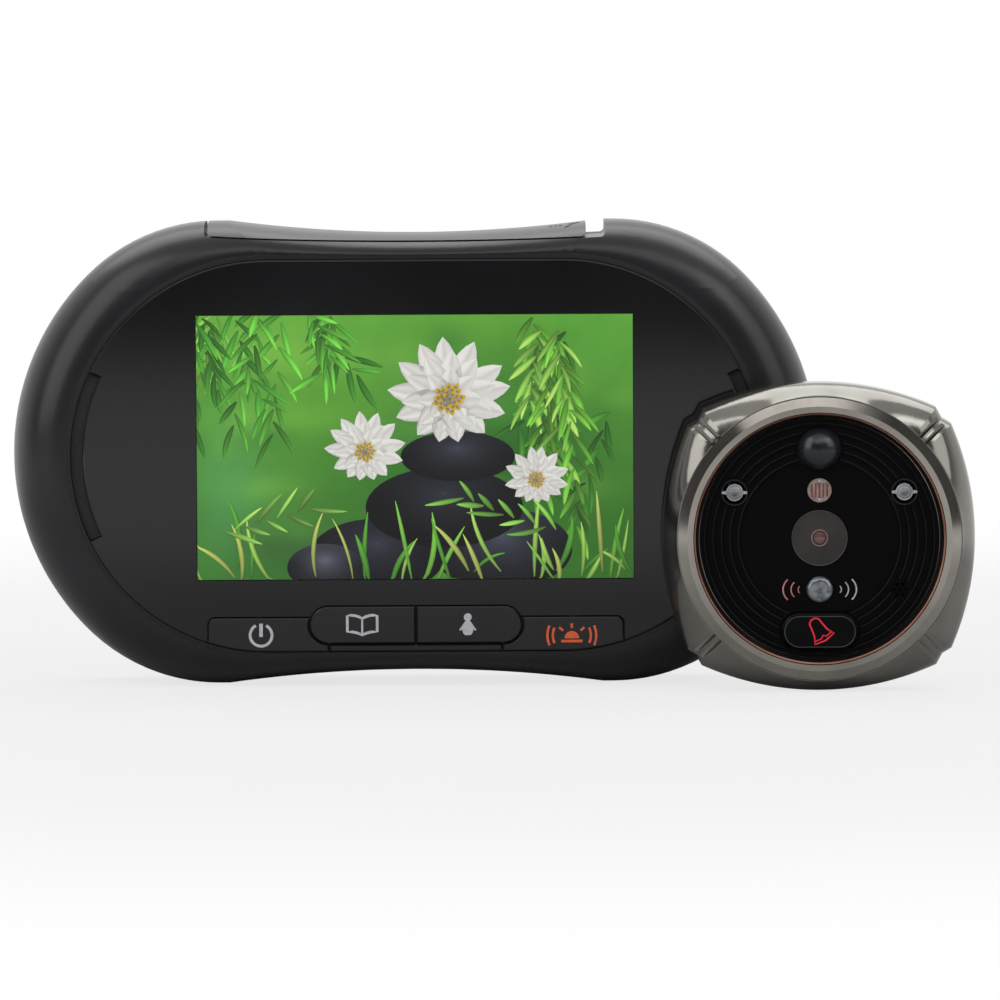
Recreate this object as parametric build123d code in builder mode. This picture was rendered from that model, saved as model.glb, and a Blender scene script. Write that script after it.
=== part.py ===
from build123d import *
import math
import os

os.makedirs("parts", exist_ok=True)

# Peephole door camera: a screen unit for the inside of a door and a camera unit for its outside.
# Millimetres. X runs to the right, Y from front to back and Z up.
# The origin is on the surface that both units stand on, below the middle of the pair.

# Casing of the indoor unit
casing_side_band = 10.9
casing_top_band = 6.5
casing_depth = 26.0
side_bulge = 3.5
foot_reach = 8.5
foot_flat = 2.0
casing_sag = 2.4
bow_depth = 11.5
belt_depth = 6.0
wall = 2.0
crown_wall = 4.5
rear_shrink_share = 0.2
bow_section_shares = (0, 0.2, 0.4, 0.6, 0.8, 1)
rear_section_shares = (0, 0.35, 0.7, 1)

# Rim round the front panel
rim_width = 0.7
rim_bulge = 0.15
rim_reach = 0.9
rim_sag = 0.2
rim_step = 0.5

# Front panel, ledge behind it and sound slots
panel_beside_screen = 23.2
panel_above_screen = 10.15
panel_below_screen = 13.35
panel_thickness = 2.0
panel_gap = 0.15
panel_edge = 0.3
ledge_thickness = 1.5
slot_drop = 20.55
slot_width = 2.4
mesh_thickness = 0.6
mesh_end_gap = 0.3
sound_hole_width = 1.2
sound_hole_length = 5.0
sound_hole_pitch = 7.0

# Screen
screen_width = 80.6
screen_height = 49.0
screen_gap = 0.15
screen_step = 0.12
screen_thickness = 2.8
tray_border = 2.0
tray_wall = 0.8
tray_gap = 0.15
tray_slack = 0.3
backlight_thickness = 2.2
flex_width = 20.0
flex_thickness = 0.3
flex_height = 12.0
flex_margin = 7.0

# Buttons below the screen
pill_width = 39.1
pill_height = 6.8
pill_edge = 5.05
key_span_inset = 1.8
key_top_edge = 6.65
key_corner = 1.5
key_gap = 0.25
key_proud = 0.15
key_thickness = 1.55
key_edge = 0.25
key_travel = 0.5
stem_radius = 1.3
stem_hole_gap = 0.3
plunger_radius = 1.1
plunger_gap = 0.08
plunger_show = 0.6
plunger_depth = 0.4
plunger_room = 0.2
switch_side = 4.5
switch_height = 2.0

# Boards of the indoor unit
board_thickness = 1.6
key_board_thickness = 1.0
key_board_height = 6.0
key_board_drop = 0.5
key_board_depth = 6.5
main_board_depth = 8.5
board_beside_screen = 11.7
board_below_panel_edge = 5.25
board_post_radius = 2.5
board_post_margin = 3.5
key_post_radius = 1.8
board_screw_radius = 0.8
board_screw_head = 1.6
board_screw_head_height = 0.8
board_screw_length = 4.0
screw_gap = 0.1
chip_height = 1.2
processor_side = 13.0
memory_width = 9.0
memory_height = 11.0
power_chip_side = 6.0
chip_spacing = 19.0
chip_drop = 14.0

# Battery, its bay and the sliding cover
notch_beyond_foot = 2.0
notch_shift = 3.5
notch_end_depth = 2.5
notch_middle_depth = 3.6
notch_corner = 0.8
cover_left_gap = 0.6
cover_travel = 3.3
cover_end_gap = 0.2
cover_lift = 0.3
bay_end_margin = 3.5
bay_wall = 1.2
bay_depth_start = 12.8
bay_depth = 10.9
bay_sink = 4.6
bay_height = 35.0
bay_mouth_inset = 0.3
pack_gap = 0.4
pack_side_gap = 0.6
pack_height = 31.0
pack_corner = 1.0
contact_width = 4.0
contact_length = 6.0
contact_height = 0.8
contact_spacing = 16.0

# Sound, card and sockets of the indoor unit
speaker_radius = 8.5
speaker_height = 4.2
speaker_from_screw = 1.5
speaker_magnet_radius = 5.5
speaker_magnet_share = 0.4
sound_seat = 0.1
microphone_radius = 3.0
microphone_height = 2.4
microphone_from_screw = 4.0
card_width = 11.0
card_length = 15.0
card_thickness = 0.8
card_from_foot = 9.75
card_holder_width = 13.4
card_holder_length = 14.0
card_holder_thickness = 1.8
card_gap = 0.1
card_tail = 1.5
card_slot_width = 12.4
card_slot_depth = 2.2
charge_width = 7.6
charge_depth = 2.8
charge_length = 6.0
charge_wall = 0.5
charge_tongue = 0.7
charge_opening_width = 11.6
charge_opening_depth = 6.6
link_width = 14.0
link_height = 5.0
link_depth = 5.5
link_wall = 0.8
link_drop = 14.0
link_opening_width = 22.0
link_opening_height = 9.0

# Fastening of the indoor unit
screw_from_board_post = 9.0
screw_below_top = 21.0
screw_post_radius = 3.0
screw_radius = 1.0
screw_head_radius = 1.9
screw_head_height = 1.4
screw_length = 12.0
screw_sink = 0.6
drive_width = 0.5
drive_depth = 0.5
hanging_spacing = 60.0
hanging_slot_length = 10.0
hanging_slot_height = 2.6
hanging_below_top = 20.5

# Outdoor unit, bezel of four petals
unit_spacing = 73.9
petal_width = 2.75
bezel_flattening = 0.8
petal_end_shares = (0.752, 0.837)
side_end_shares = (0.85, 0.73)
groove_shares = (0.79, 0.766)
groove_width = 0.8
groove_depth = 3.7
rib_width = 0.7
bezel_front = 14.0
gasket_thickness = 0.8
bezel_lip = 0.15
bezel_back_shares = ((0, 0.955, 0), (0.08, 0.985, 0), (0.2, 1, 0))
bezel_front_shares = ((0.5, 1, 0), (0.72, 0.99, 0.1), (0.9, 0.955, 0.4), (1, 0.9, 1))
room_margin = 0.1
room_corner = 9.0
room_front = 9.3

# Outdoor unit, trim ring and face
ring_slope = 1.2
ring_width = 2.75
ring_seat = 12.2
ring_proud = 0.6
ring_flat = 1.1
ring_gap = 0.1
face_front = 12.3
face_thickness = 2.0
face_gap = 0.15
ledge_width = 1.0
ridge_count = 5
ridge_edge = 1.0
ridge_pitch = 1.55
ridge_width = 0.5
ridge_depth = 0.3

# Outdoor unit, what sits in the face
seat_gap = 0.12
dome_radius = 3.95
dome_height = 2.9
dome_wall = 0.6
dome_flange = 0.5
dome_flange_gap = 0.15
dome_flange_thickness = 0.8
light_radius = 2.2
light_spacing = 1.4
light_thickness = 1.2
light_leg_radius = 0.3
light_leg_offset = 1.2
lamp_radius = 1.65
lamp_height = 5.2
lamp_round_share = 0.8
lamp_place_shares = (0.708, 0.384)
reflector_radius = 2.45
reflector_wall = 0.3
reflector_thickness = 1.6
window_radius = 5.15
window_thickness = 1.0
window_sink = 0.2
window_seat = 0.6
barrel_radius = 4.2
barrel_bore = 3.0
barrel_length = 2.4
camera_lens_radius = 2.9
camera_lens_height = 1.2
camera_board_side = 9.0
camera_board_thickness = 0.8
cap_radius = 2.4
cap_proud = 0.9
cap_thickness = 1.2
bell_margin = 1.45
bell_width = 14.1
bell_height = 6.8
bell_gap = 0.2
bell_back = 10.95
bell_proud = 1.1
bell_edge = 0.5
bell_travel = 0.5
bell_stem_radius = 1.8
bell_switch_height = 1.8
sound_place_shares = (0.667, 0.429)
sound_hole_radius = 0.33
sound_hole_ring = 1.05
sound_hole_count = 6
outdoor_speaker_radius = 4.5
outdoor_speaker_height = 2.2
outdoor_speaker_shares = (0.545, 0.429)
outdoor_microphone_radius = 2.0
outdoor_microphone_height = 1.5

# Outdoor unit, board and back
outdoor_board_margin = 1.4
outdoor_board_reach = 6.5
outdoor_board_thickness = 1.2
sensor_radius = 2.9
sensor_can_height = 2.4
sensor_rim = 0.5
sensor_rim_height = 0.5
back_thickness = 2.5
back_gap = 0.2
spigot_radius = 6.8
spigot_length = 2.2
spigot_bore = 4.0
insert_margin = 4.9
insert_radius = 2.1
insert_bore = 1.25
insert_gap = 0.03
insert_length = 4.6
insert_post_radius = 3.3
insert_post_length = 5.0
board_stop_radius = 1.5
board_stop_share = 0.585
back_screw_margin = 4.2
back_screw_post = 2.2
back_screw_radius = 0.9
back_screw_head = 1.7
back_screw_head_height = 1.0
back_screw_length = 6.0
gasket_share = 0.9
gasket_ring = 2.3
plug_width = 6.0
plug_height = 3.2
plug_depth = 2.6

# Where the two units stand
outdoor_gap = 1.2
overrun = 1.0

# Sizes of the indoor unit that follow from its screen
screen_rise = (panel_below_screen - panel_above_screen) / 2
panel_width = screen_width + 2 * panel_beside_screen
panel_height = screen_height + panel_above_screen + panel_below_screen
casing_width = panel_width + 2 * casing_side_band
casing_height = panel_height + 2 * casing_top_band
casing_half = casing_height / 2
side_radius = casing_half + side_bulge
side_centre = casing_width / 2 - side_radius
rim_half_height = panel_height / 2 + rim_width
rim_centre = panel_width / 2 + rim_width - rim_half_height - rim_bulge
rear_depth = casing_depth - rim_step - bow_depth - belt_depth
slot_half_height = panel_height / 2 - slot_drop
notch_left = side_centre + foot_reach + notch_beyond_foot
notch_right = notch_left - notch_shift
notch_end_high = casing_half - notch_end_depth
notch_middle_high = casing_half - notch_middle_depth
cover_right_gap = cover_travel + cover_end_gap
card_x = side_centre + foot_reach - foot_flat - card_from_foot
bay_width = 2 * (notch_right - bay_end_margin)
bay_top = notch_middle_high - bay_sink
key_span = screen_width - 2 * key_span_inset
key_top_drop = panel_height / 2 - key_top_edge
pill_drop = panel_height / 2 - pill_edge
side_key_offset = (key_span + pill_width) / 4
middle_key_offset = pill_width / 4
key_post_x = (side_key_offset + middle_key_offset) / 2
main_board_width = screen_width + 2 * board_beside_screen
main_board_height = panel_height - 2 * board_below_panel_edge
board_post_x = main_board_width / 2 - board_post_margin
board_post_z = main_board_height / 2 - board_post_margin
flex_bottom_drop = main_board_height / 2 - flex_margin
flex_top_drop = flex_bottom_drop - flex_height
screw_x = board_post_x + screw_from_board_post
screw_z = casing_half - screw_below_top
speaker_x = screw_x - speaker_from_screw
microphone_x = screw_x + microphone_from_screw
hanging_rise = casing_half - hanging_below_top

# Sizes of the outdoor unit that follow from what its face holds, from the window to the dome
light_rise = window_radius + light_spacing + light_radius
dome_rise = light_rise + light_radius + light_spacing + dome_radius
ledge_radius = dome_rise + dome_radius + dome_flange + dome_flange_gap
face_radius = ledge_radius + ledge_width
bell_drop = face_radius - bell_margin - bell_height / 2
cap_drop = (window_radius + bell_drop - bell_height / 2) / 2
lamp_x, lamp_rise = (face_radius * share for share in lamp_place_shares)
sound_x, sound_drop = (face_radius * share for share in sound_place_shares)
outdoor_speaker_x, outdoor_speaker_drop = (face_radius * share for share in outdoor_speaker_shares)
ridge_radii = tuple(face_radius - ridge_edge - number * ridge_pitch for number in range(ridge_count))
ring_opening = face_radius + ring_slope
ring_radius = ring_opening + ring_width
bezel_lip_radius = ring_radius + ring_gap + bezel_lip
bezel_width = 2 * (ring_radius + petal_width)
bezel_height = bezel_width - bezel_flattening
room_side = 2 * (face_radius + room_margin)
outdoor_board_radius = face_radius - outdoor_board_margin
insert_spacing = 2 * (face_radius - insert_margin)
board_stop_place = outdoor_board_radius * board_stop_share
back_screw_place = room_side / 2 - back_screw_margin
gasket_opening = face_radius - gasket_ring

# Where the two units are
indoor_x = (casing_width - bezel_width) / 4 - unit_spacing / 2
outdoor_x = indoor_x + unit_spacing
outdoor_z = bezel_height / 2
outdoor_reach = face_front + dome_height
pair_depth = casing_depth + outdoor_gap + outdoor_reach
indoor_front = outdoor_gap + outdoor_reach - pair_depth / 2
door_y = indoor_front - outdoor_gap
ledge_front = panel_thickness
ledge_back = ledge_front + ledge_thickness


def indoor_plane(depth, x=0, z=0):
    """Upright plane at a depth behind the indoor panel; its origin is at the unit's middle."""
    return Plane(
        origin=(indoor_x + x, indoor_front + depth, casing_half + z), x_dir=(1, 0, 0), z_dir=(0, -1, 0)
    )


def outdoor_plane(reach, x=0, z=0):
    """Upright plane at a reach in front of the outdoor unit's back; its origin is at the unit's middle."""
    return Plane(
        origin=(outdoor_x + x, door_y - reach, outdoor_z + z), x_dir=(1, 0, 0), z_dir=(0, -1, 0)
    )


def block(plane, width, height, amount, places=((0, 0),), mode=Mode.ADD):
    """Rectangular blocks that start on a plane; a negative amount runs backwards."""
    with BuildSketch(plane) as face:
        with Locations(*places):
            Rectangle(width, height)
    extrude(face.sketch, amount=amount, mode=mode)


def disc(plane, radius, amount, places=((0, 0),), mode=Mode.ADD):
    """Round discs that start on a plane; a negative amount runs backwards."""
    with BuildSketch(plane) as face:
        with Locations(*places):
            Circle(radius)
    extrude(face.sketch, amount=amount, mode=mode)


def four_corners(x, z):
    """Four places, one in each corner."""
    return ((x, z), (-x, z), (-x, -z), (x, -z))


def blend(share, at_rim, at_belt):
    """Size between the front rim, share 0, and the belt, share 1."""
    return at_rim + share * (at_belt - at_rim)


def casing_section(depth, share, side_inset=0, crown_inset=0):
    """Outline of the indoor casing: two round sides, four flat feet and a sagging top and bottom."""
    high = blend(share, rim_half_height, casing_half) - crown_inset
    side = blend(share, rim_half_height + rim_bulge, side_radius) - side_inset
    centre = blend(share, rim_centre, side_centre)
    reach = blend(share, rim_reach, foot_reach)
    sag = blend(share, rim_sag, casing_sag)
    flat_out = centre + reach
    flat_in = flat_out - foot_flat
    corner = (side**2 - high**2 - reach**2) / (2 * (side - high))
    turn = math.atan2(high - corner, reach)
    touch = (centre + side * math.cos(turn), side * math.sin(turn))
    sweep = math.degrees(turn)
    with BuildSketch(indoor_plane(depth)) as section:
        with BuildLine():
            Line((flat_in, high), (flat_out, high))
            TangentArc((flat_out, high), touch, tangent=(1, 0))
            mirror(about=Plane.XZ)
            mirror(about=Plane.YZ)
            CenterArc((centre, 0), side, -sweep, 2 * sweep)
            CenterArc((-centre, 0), side, 180 - sweep, 2 * sweep)
            ThreePointArc((-flat_in, high), (0, high - sag), (flat_in, high))
            ThreePointArc((-flat_in, -high), (0, sag - high), (flat_in, -high))
        make_face()
    return section.sketch


def bow_sections(first_depth, side_inset=0, crown_inset=0):
    """Sections of the rounded front band, from a depth behind the rim back to the belt."""
    first_turn = math.acos(1 - first_depth / bow_depth)
    sections = []
    for share in bow_section_shares:
        turn = first_turn + share * (math.pi / 2 - first_turn)
        depth = bow_depth * (1 - math.cos(turn))
        sections.append(casing_section(rim_step + depth, math.sin(turn), side_inset, crown_inset))
    return sections


def rear_sections():
    """Sections of the rounded back, from the belt to the flat that faces the door."""
    sections = []
    for share in rear_section_shares:
        swing = share * math.pi / 2
        shrink = rear_shrink_share * (1 - math.cos(swing))
        sections.append(casing_section(belt_end + rear_depth * math.sin(swing), 1 - shrink))
    return sections


def floor_height(x):
    """Height of the cover's notch above the middle of the unit."""
    return notch_middle_high + (notch_end_high - notch_middle_high) * (x / notch_left) ** 2


def notch_sketch(depth, left, right, lift=0):
    """The notch in the casing's top, open upwards, on a plane at a depth."""
    high = casing_half + overrun
    low_left = (-left, floor_height(left) + lift)
    low_right = (right, floor_height(right) + lift)
    with BuildSketch(indoor_plane(depth)) as notch:
        with BuildLine():
            ThreePointArc(low_left, (0, floor_height(0) + lift), low_right)
            Polyline(low_left, (-left, high), (right, high), low_right)
        make_face()
        fillet(notch.vertices().sort_by(Axis.Y)[:2], notch_corner)
    return notch.sketch


belt_start = rim_step + bow_depth
belt_end = belt_start + belt_depth
rear_room = rear_depth - wall
envelope = Part() + loft(bow_sections(0))
envelope += extrude(casing_section(belt_start, 1), amount=-belt_depth)
envelope += loft(rear_sections())

# Panel outline and what is cut from it
end_radius = panel_height / 2
end_centre = panel_width / 2 - end_radius


def end_band(side, inner, outer, half_height):
    """Outline of a ring segment about one round end of the panel."""
    middle = 0 if side > 0 else 180
    turn = math.degrees(math.asin(half_height / end_radius))
    inner_arc = CenterArc((side * end_centre, 0), inner, middle - turn, 2 * turn)
    outer_arc = CenterArc((side * end_centre, 0), outer, middle - turn, 2 * turn)
    Line(inner_arc @ 0, outer_arc @ 0)
    Line(inner_arc @ 1, outer_arc @ 1)


def panel_sketch(depth, gap=0, slots=True):
    """The panel: a slot shape, with a curved slot taken off each end for the sound."""
    with BuildSketch(indoor_plane(depth)) as panel:
        SlotOverall(panel_width - 2 * gap, panel_height - 2 * gap)
        if slots:
            for side in (-1, 1):
                with BuildLine():
                    end_band(side, end_radius - slot_width, end_radius + overrun, slot_half_height)
                make_face(mode=Mode.SUBTRACT)
    return panel.sketch


def key_zone_sketch(depth, gap=0):
    """The zone of the four buttons, from the panel's lower edge up, with the pill's head above it."""
    low = -panel_height / 2 - overrun
    top = -key_top_drop - gap
    with BuildSketch(indoor_plane(depth)) as zone:
        with Locations((0, (low + top) / 2)):
            Rectangle(key_span - 2 * gap, top - low)
        fillet(zone.vertices().group_by(Axis.Y)[-1], key_corner)
        with Locations((0, -pill_drop)):
            SlotOverall(pill_width + 2 * (key_gap - gap), pill_height + 2 * (key_gap - gap))
    return zone.sketch


# Front panel, glossy, with openings for the screen and the buttons
with BuildPart() as front_panel:
    extrude(panel_sketch(0, panel_gap), amount=-panel_thickness)
    chamfer(front_panel.faces().sort_by(Axis.Y)[0].outer_wire().edges(), panel_edge)
    block(indoor_plane(0, z=screen_rise), screen_width, screen_height, -panel_thickness, mode=Mode.SUBTRACT)
    extrude(key_zone_sketch(0), amount=-panel_thickness, mode=Mode.SUBTRACT)
front_panel.part.label = "front_panel"
export_step(front_panel.part, "parts/front_panel.step")

# Screen: the glass in the panel's opening, its backlight and the metal tray that holds both
tray_width = screen_width + 2 * tray_border
tray_height = screen_height + 2 * tray_border
tray_back = screen_step + screen_thickness + backlight_thickness + tray_wall
with BuildPart() as lcd_panel:
    block(
        indoor_plane(screen_step, z=screen_rise),
        screen_width - 2 * screen_gap,
        screen_height - 2 * screen_gap,
        -screen_thickness,
    )
lcd_panel.part.label = "lcd_panel"
export_step(lcd_panel.part, "parts/lcd_panel.step")

with BuildPart() as lcd_backlight:
    block(
        indoor_plane(screen_step + screen_thickness, z=screen_rise),
        tray_width - 2 * (tray_wall + tray_gap),
        tray_height - 2 * (tray_wall + tray_gap),
        -backlight_thickness,
    )
lcd_backlight.part.label = "lcd_backlight"
export_step(lcd_backlight.part, "parts/lcd_backlight.step")

with BuildPart() as lcd_tray:
    tray_front = panel_thickness + tray_gap
    block(indoor_plane(tray_front, z=screen_rise), tray_width, tray_height, tray_front - tray_back)
    block(
        indoor_plane(tray_front, z=screen_rise),
        tray_width - 2 * tray_wall,
        tray_height - 2 * tray_wall,
        tray_front - tray_back + tray_wall,
        mode=Mode.SUBTRACT,
    )
lcd_tray.part.label = "lcd_tray"
export_step(lcd_tray.part, "parts/lcd_tray.step")

with BuildPart() as display_flex:
    flex_top = indoor_plane(tray_back, z=-(flex_top_drop + flex_bottom_drop) / 2)
    block(flex_top, flex_width, flex_bottom_drop - flex_top_drop, -flex_thickness)
    flex_end = indoor_plane(tray_back, z=flex_thickness / 2 - flex_bottom_drop)
    block(flex_end, flex_width, flex_thickness, tray_back - main_board_depth)
display_flex.part.label = "display_flex"
export_step(display_flex.part, "parts/display_flex.step")

# Front housing: rounded band, ledge behind the panel, posts for the boards and the screws
stem_places = ((-side_key_offset, 0), (-middle_key_offset, 0), (middle_key_offset, 0), (side_key_offset, 0))
charge_middle = main_board_depth + board_thickness + charge_depth / 2
card_middle = main_board_depth + board_thickness + card_holder_thickness / 2
bay_inner_depth = bay_depth - 2 * bay_wall
mouth_depth = bay_depth_start + bay_wall
mouth_width = bay_width - 2 * bay_wall - 2 * bay_mouth_inset
charge_place = (indoor_x, indoor_front + charge_middle, 0)
card_place = (indoor_x + card_x, indoor_front + card_middle, 0)


def battery_mouth():
    """The way into the battery bay, through the floor of the notch."""
    height = casing_half + overrun - bay_top
    mouth_plane = indoor_plane(mouth_depth, z=bay_top + height / 2)
    block(mouth_plane, mouth_width, height, -bay_inner_depth, mode=Mode.SUBTRACT)


with BuildPart() as front_housing:
    loft(bow_sections(0))
    extrude(casing_section(belt_start, 1), amount=-belt_depth)
    loft(bow_sections(ledge_back - rim_step, wall, crown_wall), mode=Mode.SUBTRACT)
    extrude(casing_section(belt_start, 1, wall, crown_wall), amount=-belt_depth, mode=Mode.SUBTRACT)
    extrude(panel_sketch(rim_step, slots=False), amount=-(ledge_front - rim_step), mode=Mode.SUBTRACT)
    extrude(panel_sketch(rim_step, slots=False), amount=overrun, mode=Mode.SUBTRACT)
    block(
        indoor_plane(ledge_front, z=screen_rise),
        tray_width + 2 * tray_slack,
        tray_height + 2 * tray_slack,
        -ledge_thickness,
        mode=Mode.SUBTRACT,
    )
    disc(
        indoor_plane(ledge_front, z=-pill_drop),
        stem_radius + stem_hole_gap,
        -ledge_thickness,
        stem_places,
        mode=Mode.SUBTRACT,
    )
    hole_ring = end_radius - slot_width / 2
    hole_turn = math.degrees(sound_hole_pitch / hole_ring)
    for side, middle in ((-1, 180), (1, 0)):
        with BuildSketch(indoor_plane(ledge_front)) as sound_holes:
            with Locations((side * end_centre, 0)):
                with PolarLocations(hole_ring, 3, middle - hole_turn, 2 * hole_turn, endpoint=True):
                    SlotOverall(sound_hole_length, sound_hole_width, rotation=90)
        extrude(sound_holes.sketch, amount=-ledge_thickness, mode=Mode.SUBTRACT)
    disc(
        indoor_plane(ledge_back, z=-pill_drop),
        key_post_radius,
        ledge_back - key_board_depth,
        ((-key_post_x, 0), (key_post_x, 0)),
    )
    disc(
        indoor_plane(ledge_back),
        board_post_radius,
        ledge_back - main_board_depth,
        four_corners(board_post_x, board_post_z),
    )
    disc(
        indoor_plane(ledge_back),
        screw_post_radius,
        ledge_back - belt_end,
        four_corners(screw_x, screw_z),
    )
    board_screw_hole = board_screw_length - board_screw_head_height + screw_gap
    disc(
        indoor_plane(main_board_depth),
        board_screw_radius + screw_gap,
        board_screw_hole - board_thickness,
        four_corners(board_post_x, board_post_z),
        mode=Mode.SUBTRACT,
    )
    disc(
        indoor_plane(key_board_depth, z=-pill_drop),
        board_screw_radius + screw_gap,
        board_screw_hole - key_board_thickness,
        ((-key_post_x, 0), (key_post_x, 0)),
        mode=Mode.SUBTRACT,
    )
    disc(
        indoor_plane(belt_end),
        screw_radius + screw_gap,
        screw_length - rear_room + screw_gap,
        four_corners(screw_x, screw_z),
        mode=Mode.SUBTRACT,
    )
    extrude(notch_sketch(0, notch_left, notch_right), amount=-casing_depth, mode=Mode.SUBTRACT)
    battery_mouth()
    with BuildSketch(Plane.XY) as socket_holes:
        with Locations(charge_place[:2]):
            Rectangle(charge_opening_width, charge_opening_depth)
        with Locations(card_place[:2]):
            Rectangle(card_slot_width, card_slot_depth)
    extrude(socket_holes.sketch, amount=crown_wall + casing_sag + overrun, mode=Mode.SUBTRACT)
front_housing.part.label = "front_housing"
export_step(front_housing.part, "parts/front_housing.step")

# Rear cover: closes the back, with two hanging slots and the opening for the cable
with BuildPart() as rear_cover:
    loft(rear_sections())
    rear_cavity = casing_section(belt_end, 1 - rear_shrink_share, wall, crown_wall)
    extrude(rear_cavity, amount=-rear_room, mode=Mode.SUBTRACT)
    disc(
        indoor_plane(belt_end),
        screw_post_radius,
        -rear_room,
        four_corners(screw_x, screw_z),
    )
    disc(
        indoor_plane(belt_end),
        screw_radius + screw_gap,
        -rear_depth,
        four_corners(screw_x, screw_z),
        mode=Mode.SUBTRACT,
    )
    disc(
        indoor_plane(casing_depth),
        screw_head_radius + screw_gap,
        screw_head_height + screw_sink,
        four_corners(screw_x, screw_z),
        mode=Mode.SUBTRACT,
    )
    with BuildSketch(indoor_plane(casing_depth, z=hanging_rise)) as hanging_slots:
        with GridLocations(hanging_spacing, 0, 2, 1):
            SlotOverall(hanging_slot_length, hanging_slot_height)
    extrude(hanging_slots.sketch, amount=wall, mode=Mode.SUBTRACT)
    block(
        indoor_plane(casing_depth, z=-link_drop),
        link_opening_width,
        link_opening_height,
        wall,
        mode=Mode.SUBTRACT,
    )
    extrude(notch_sketch(0, notch_left, notch_right), amount=-casing_depth - overrun, mode=Mode.SUBTRACT)
    battery_mouth()
rear_cover.part.label = "rear_cover"
export_step(rear_cover.part, "parts/rear_cover.step")

# Sliding cover over the battery, flush with the casing's top
with BuildPart() as battery_cover:
    add(envelope)
    cover_face = notch_sketch(0, notch_left - cover_left_gap, notch_right - cover_right_gap, cover_lift)
    extrude(cover_face, amount=-casing_depth - overrun, mode=Mode.INTERSECT)
battery_cover.part.label = "battery_cover"
export_step(battery_cover.part, "parts/battery_cover.step")

# Buttons: a cap in the panel's opening and a stem through the ledge, down to a switch plunger
stem_end = key_board_depth - switch_height - plunger_show


def middle_key_sketch(side):
    """Half of the pill below the screen."""
    with BuildSketch(indoor_plane(-key_proud)) as key:
        with Locations((0, -pill_drop)):
            SlotOverall(pill_width, pill_height)
        with Locations((side * (pill_width + key_gap) / 4, -pill_drop)):
            Rectangle((pill_width - key_gap) / 2, pill_height, mode=Mode.INTERSECT)
    return key.sketch


def side_key_sketch(side):
    """Button beside the pill; it follows the pill's round end and the panel's lower edge."""
    inner = (pill_width - pill_height) / 2
    outer = key_span / 2 - key_gap
    top = -key_top_drop - key_gap
    low = -panel_height / 2
    with BuildSketch(indoor_plane(-key_proud)) as key:
        with Locations((side * (inner + outer) / 2, (low + top) / 2)):
            Rectangle(outer - inner, top - low)
        upper_corners = key.vertices().group_by(Axis.Y)[-1].sort_by(Axis.X)
        fillet(upper_corners[-1 if side > 0 else 0], key_corner - key_gap)
        SlotOverall(panel_width - 2 * key_gap, panel_height - 2 * key_gap, mode=Mode.INTERSECT)
        with Locations((0, -pill_drop)):
            SlotOverall(pill_width + 2 * key_gap, pill_height + 2 * key_gap, mode=Mode.SUBTRACT)
    return key.sketch


def key_body(button, cap_sketch, stem_x):
    """Cap with a bevelled front edge, and its stem."""
    extrude(cap_sketch, amount=-key_thickness)
    chamfer(button.faces().sort_by(Axis.Y)[0].edges(), key_edge)
    cap_back = key_thickness - key_proud
    disc(indoor_plane(cap_back, z=-pill_drop), stem_radius, cap_back - stem_end, ((stem_x, 0),))


with BuildPart() as power_button:
    key_body(power_button, side_key_sketch(-1), -side_key_offset)
power_button.part.label = "power_button"
export_step(power_button.part, "parts/power_button.step")

with BuildPart() as album_button:
    key_body(album_button, middle_key_sketch(-1), -middle_key_offset)
album_button.part.label = "album_button"
export_step(album_button.part, "parts/album_button.step")

with BuildPart() as visitor_button:
    key_body(visitor_button, middle_key_sketch(1), middle_key_offset)
visitor_button.part.label = "visitor_button"
export_step(visitor_button.part, "parts/visitor_button.step")

with BuildPart() as alarm_button:
    key_body(alarm_button, side_key_sketch(1), side_key_offset)
alarm_button.part.label = "alarm_button"
export_step(alarm_button.part, "parts/alarm_button.step")

# Fixed strip under the pill, between the two side buttons
with BuildPart() as key_strip:
    with BuildSketch(indoor_plane(0)) as strip_face:
        strip_top = -pill_drop - pill_height / 2 - key_gap
        strip_low = -panel_height / 2 + key_gap
        with Locations((0, (strip_top + strip_low) / 2)):
            Rectangle(pill_width - pill_height - 2 * key_gap, strip_top - strip_low)
    extrude(amount=-panel_thickness)
    chamfer(key_strip.faces().sort_by(Axis.Y)[0].edges(), key_edge)
key_strip.part.label = "key_strip"
export_step(key_strip.part, "parts/key_strip.step")

# Switch plungers, one to each button's stem
key_names = ("power", "album", "visitor", "alarm")
for key_name, (stem_x, stem_z) in zip(key_names, stem_places):
    with BuildPart() as key_plunger:
        disc(
            indoor_plane(stem_end, z=-pill_drop),
            plunger_radius,
            -plunger_show - plunger_depth,
            ((stem_x, stem_z),),
        )
    key_plunger.part.label = f"{key_name}_plunger"
    export_step(key_plunger.part, f"parts/{key_name}_plunger.step")

# Switch bodies, each with a bore that its plunger sinks into
with BuildPart() as key_switches:
    block(
        indoor_plane(key_board_depth - switch_height, z=-pill_drop),
        switch_side,
        switch_side,
        -switch_height,
        stem_places,
    )
    disc(
        indoor_plane(key_board_depth - switch_height, z=-pill_drop),
        plunger_radius + plunger_gap,
        -plunger_depth - key_travel - plunger_room,
        stem_places,
        mode=Mode.SUBTRACT,
    )
key_switches.part.label = "key_switches"
export_step(key_switches.part, "parts/key_switches.step")

with BuildPart() as key_board:
    key_board_plane = indoor_plane(key_board_depth, z=-pill_drop)
    block(key_board_plane, key_span, key_board_height, -key_board_thickness, ((0, -key_board_drop),))
    disc(
        key_board_plane,
        board_screw_radius + screw_gap,
        -key_board_thickness,
        ((-key_post_x, 0), (key_post_x, 0)),
        mode=Mode.SUBTRACT,
    )
key_board.part.label = "key_board"
export_step(key_board.part, "parts/key_board.step")

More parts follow.
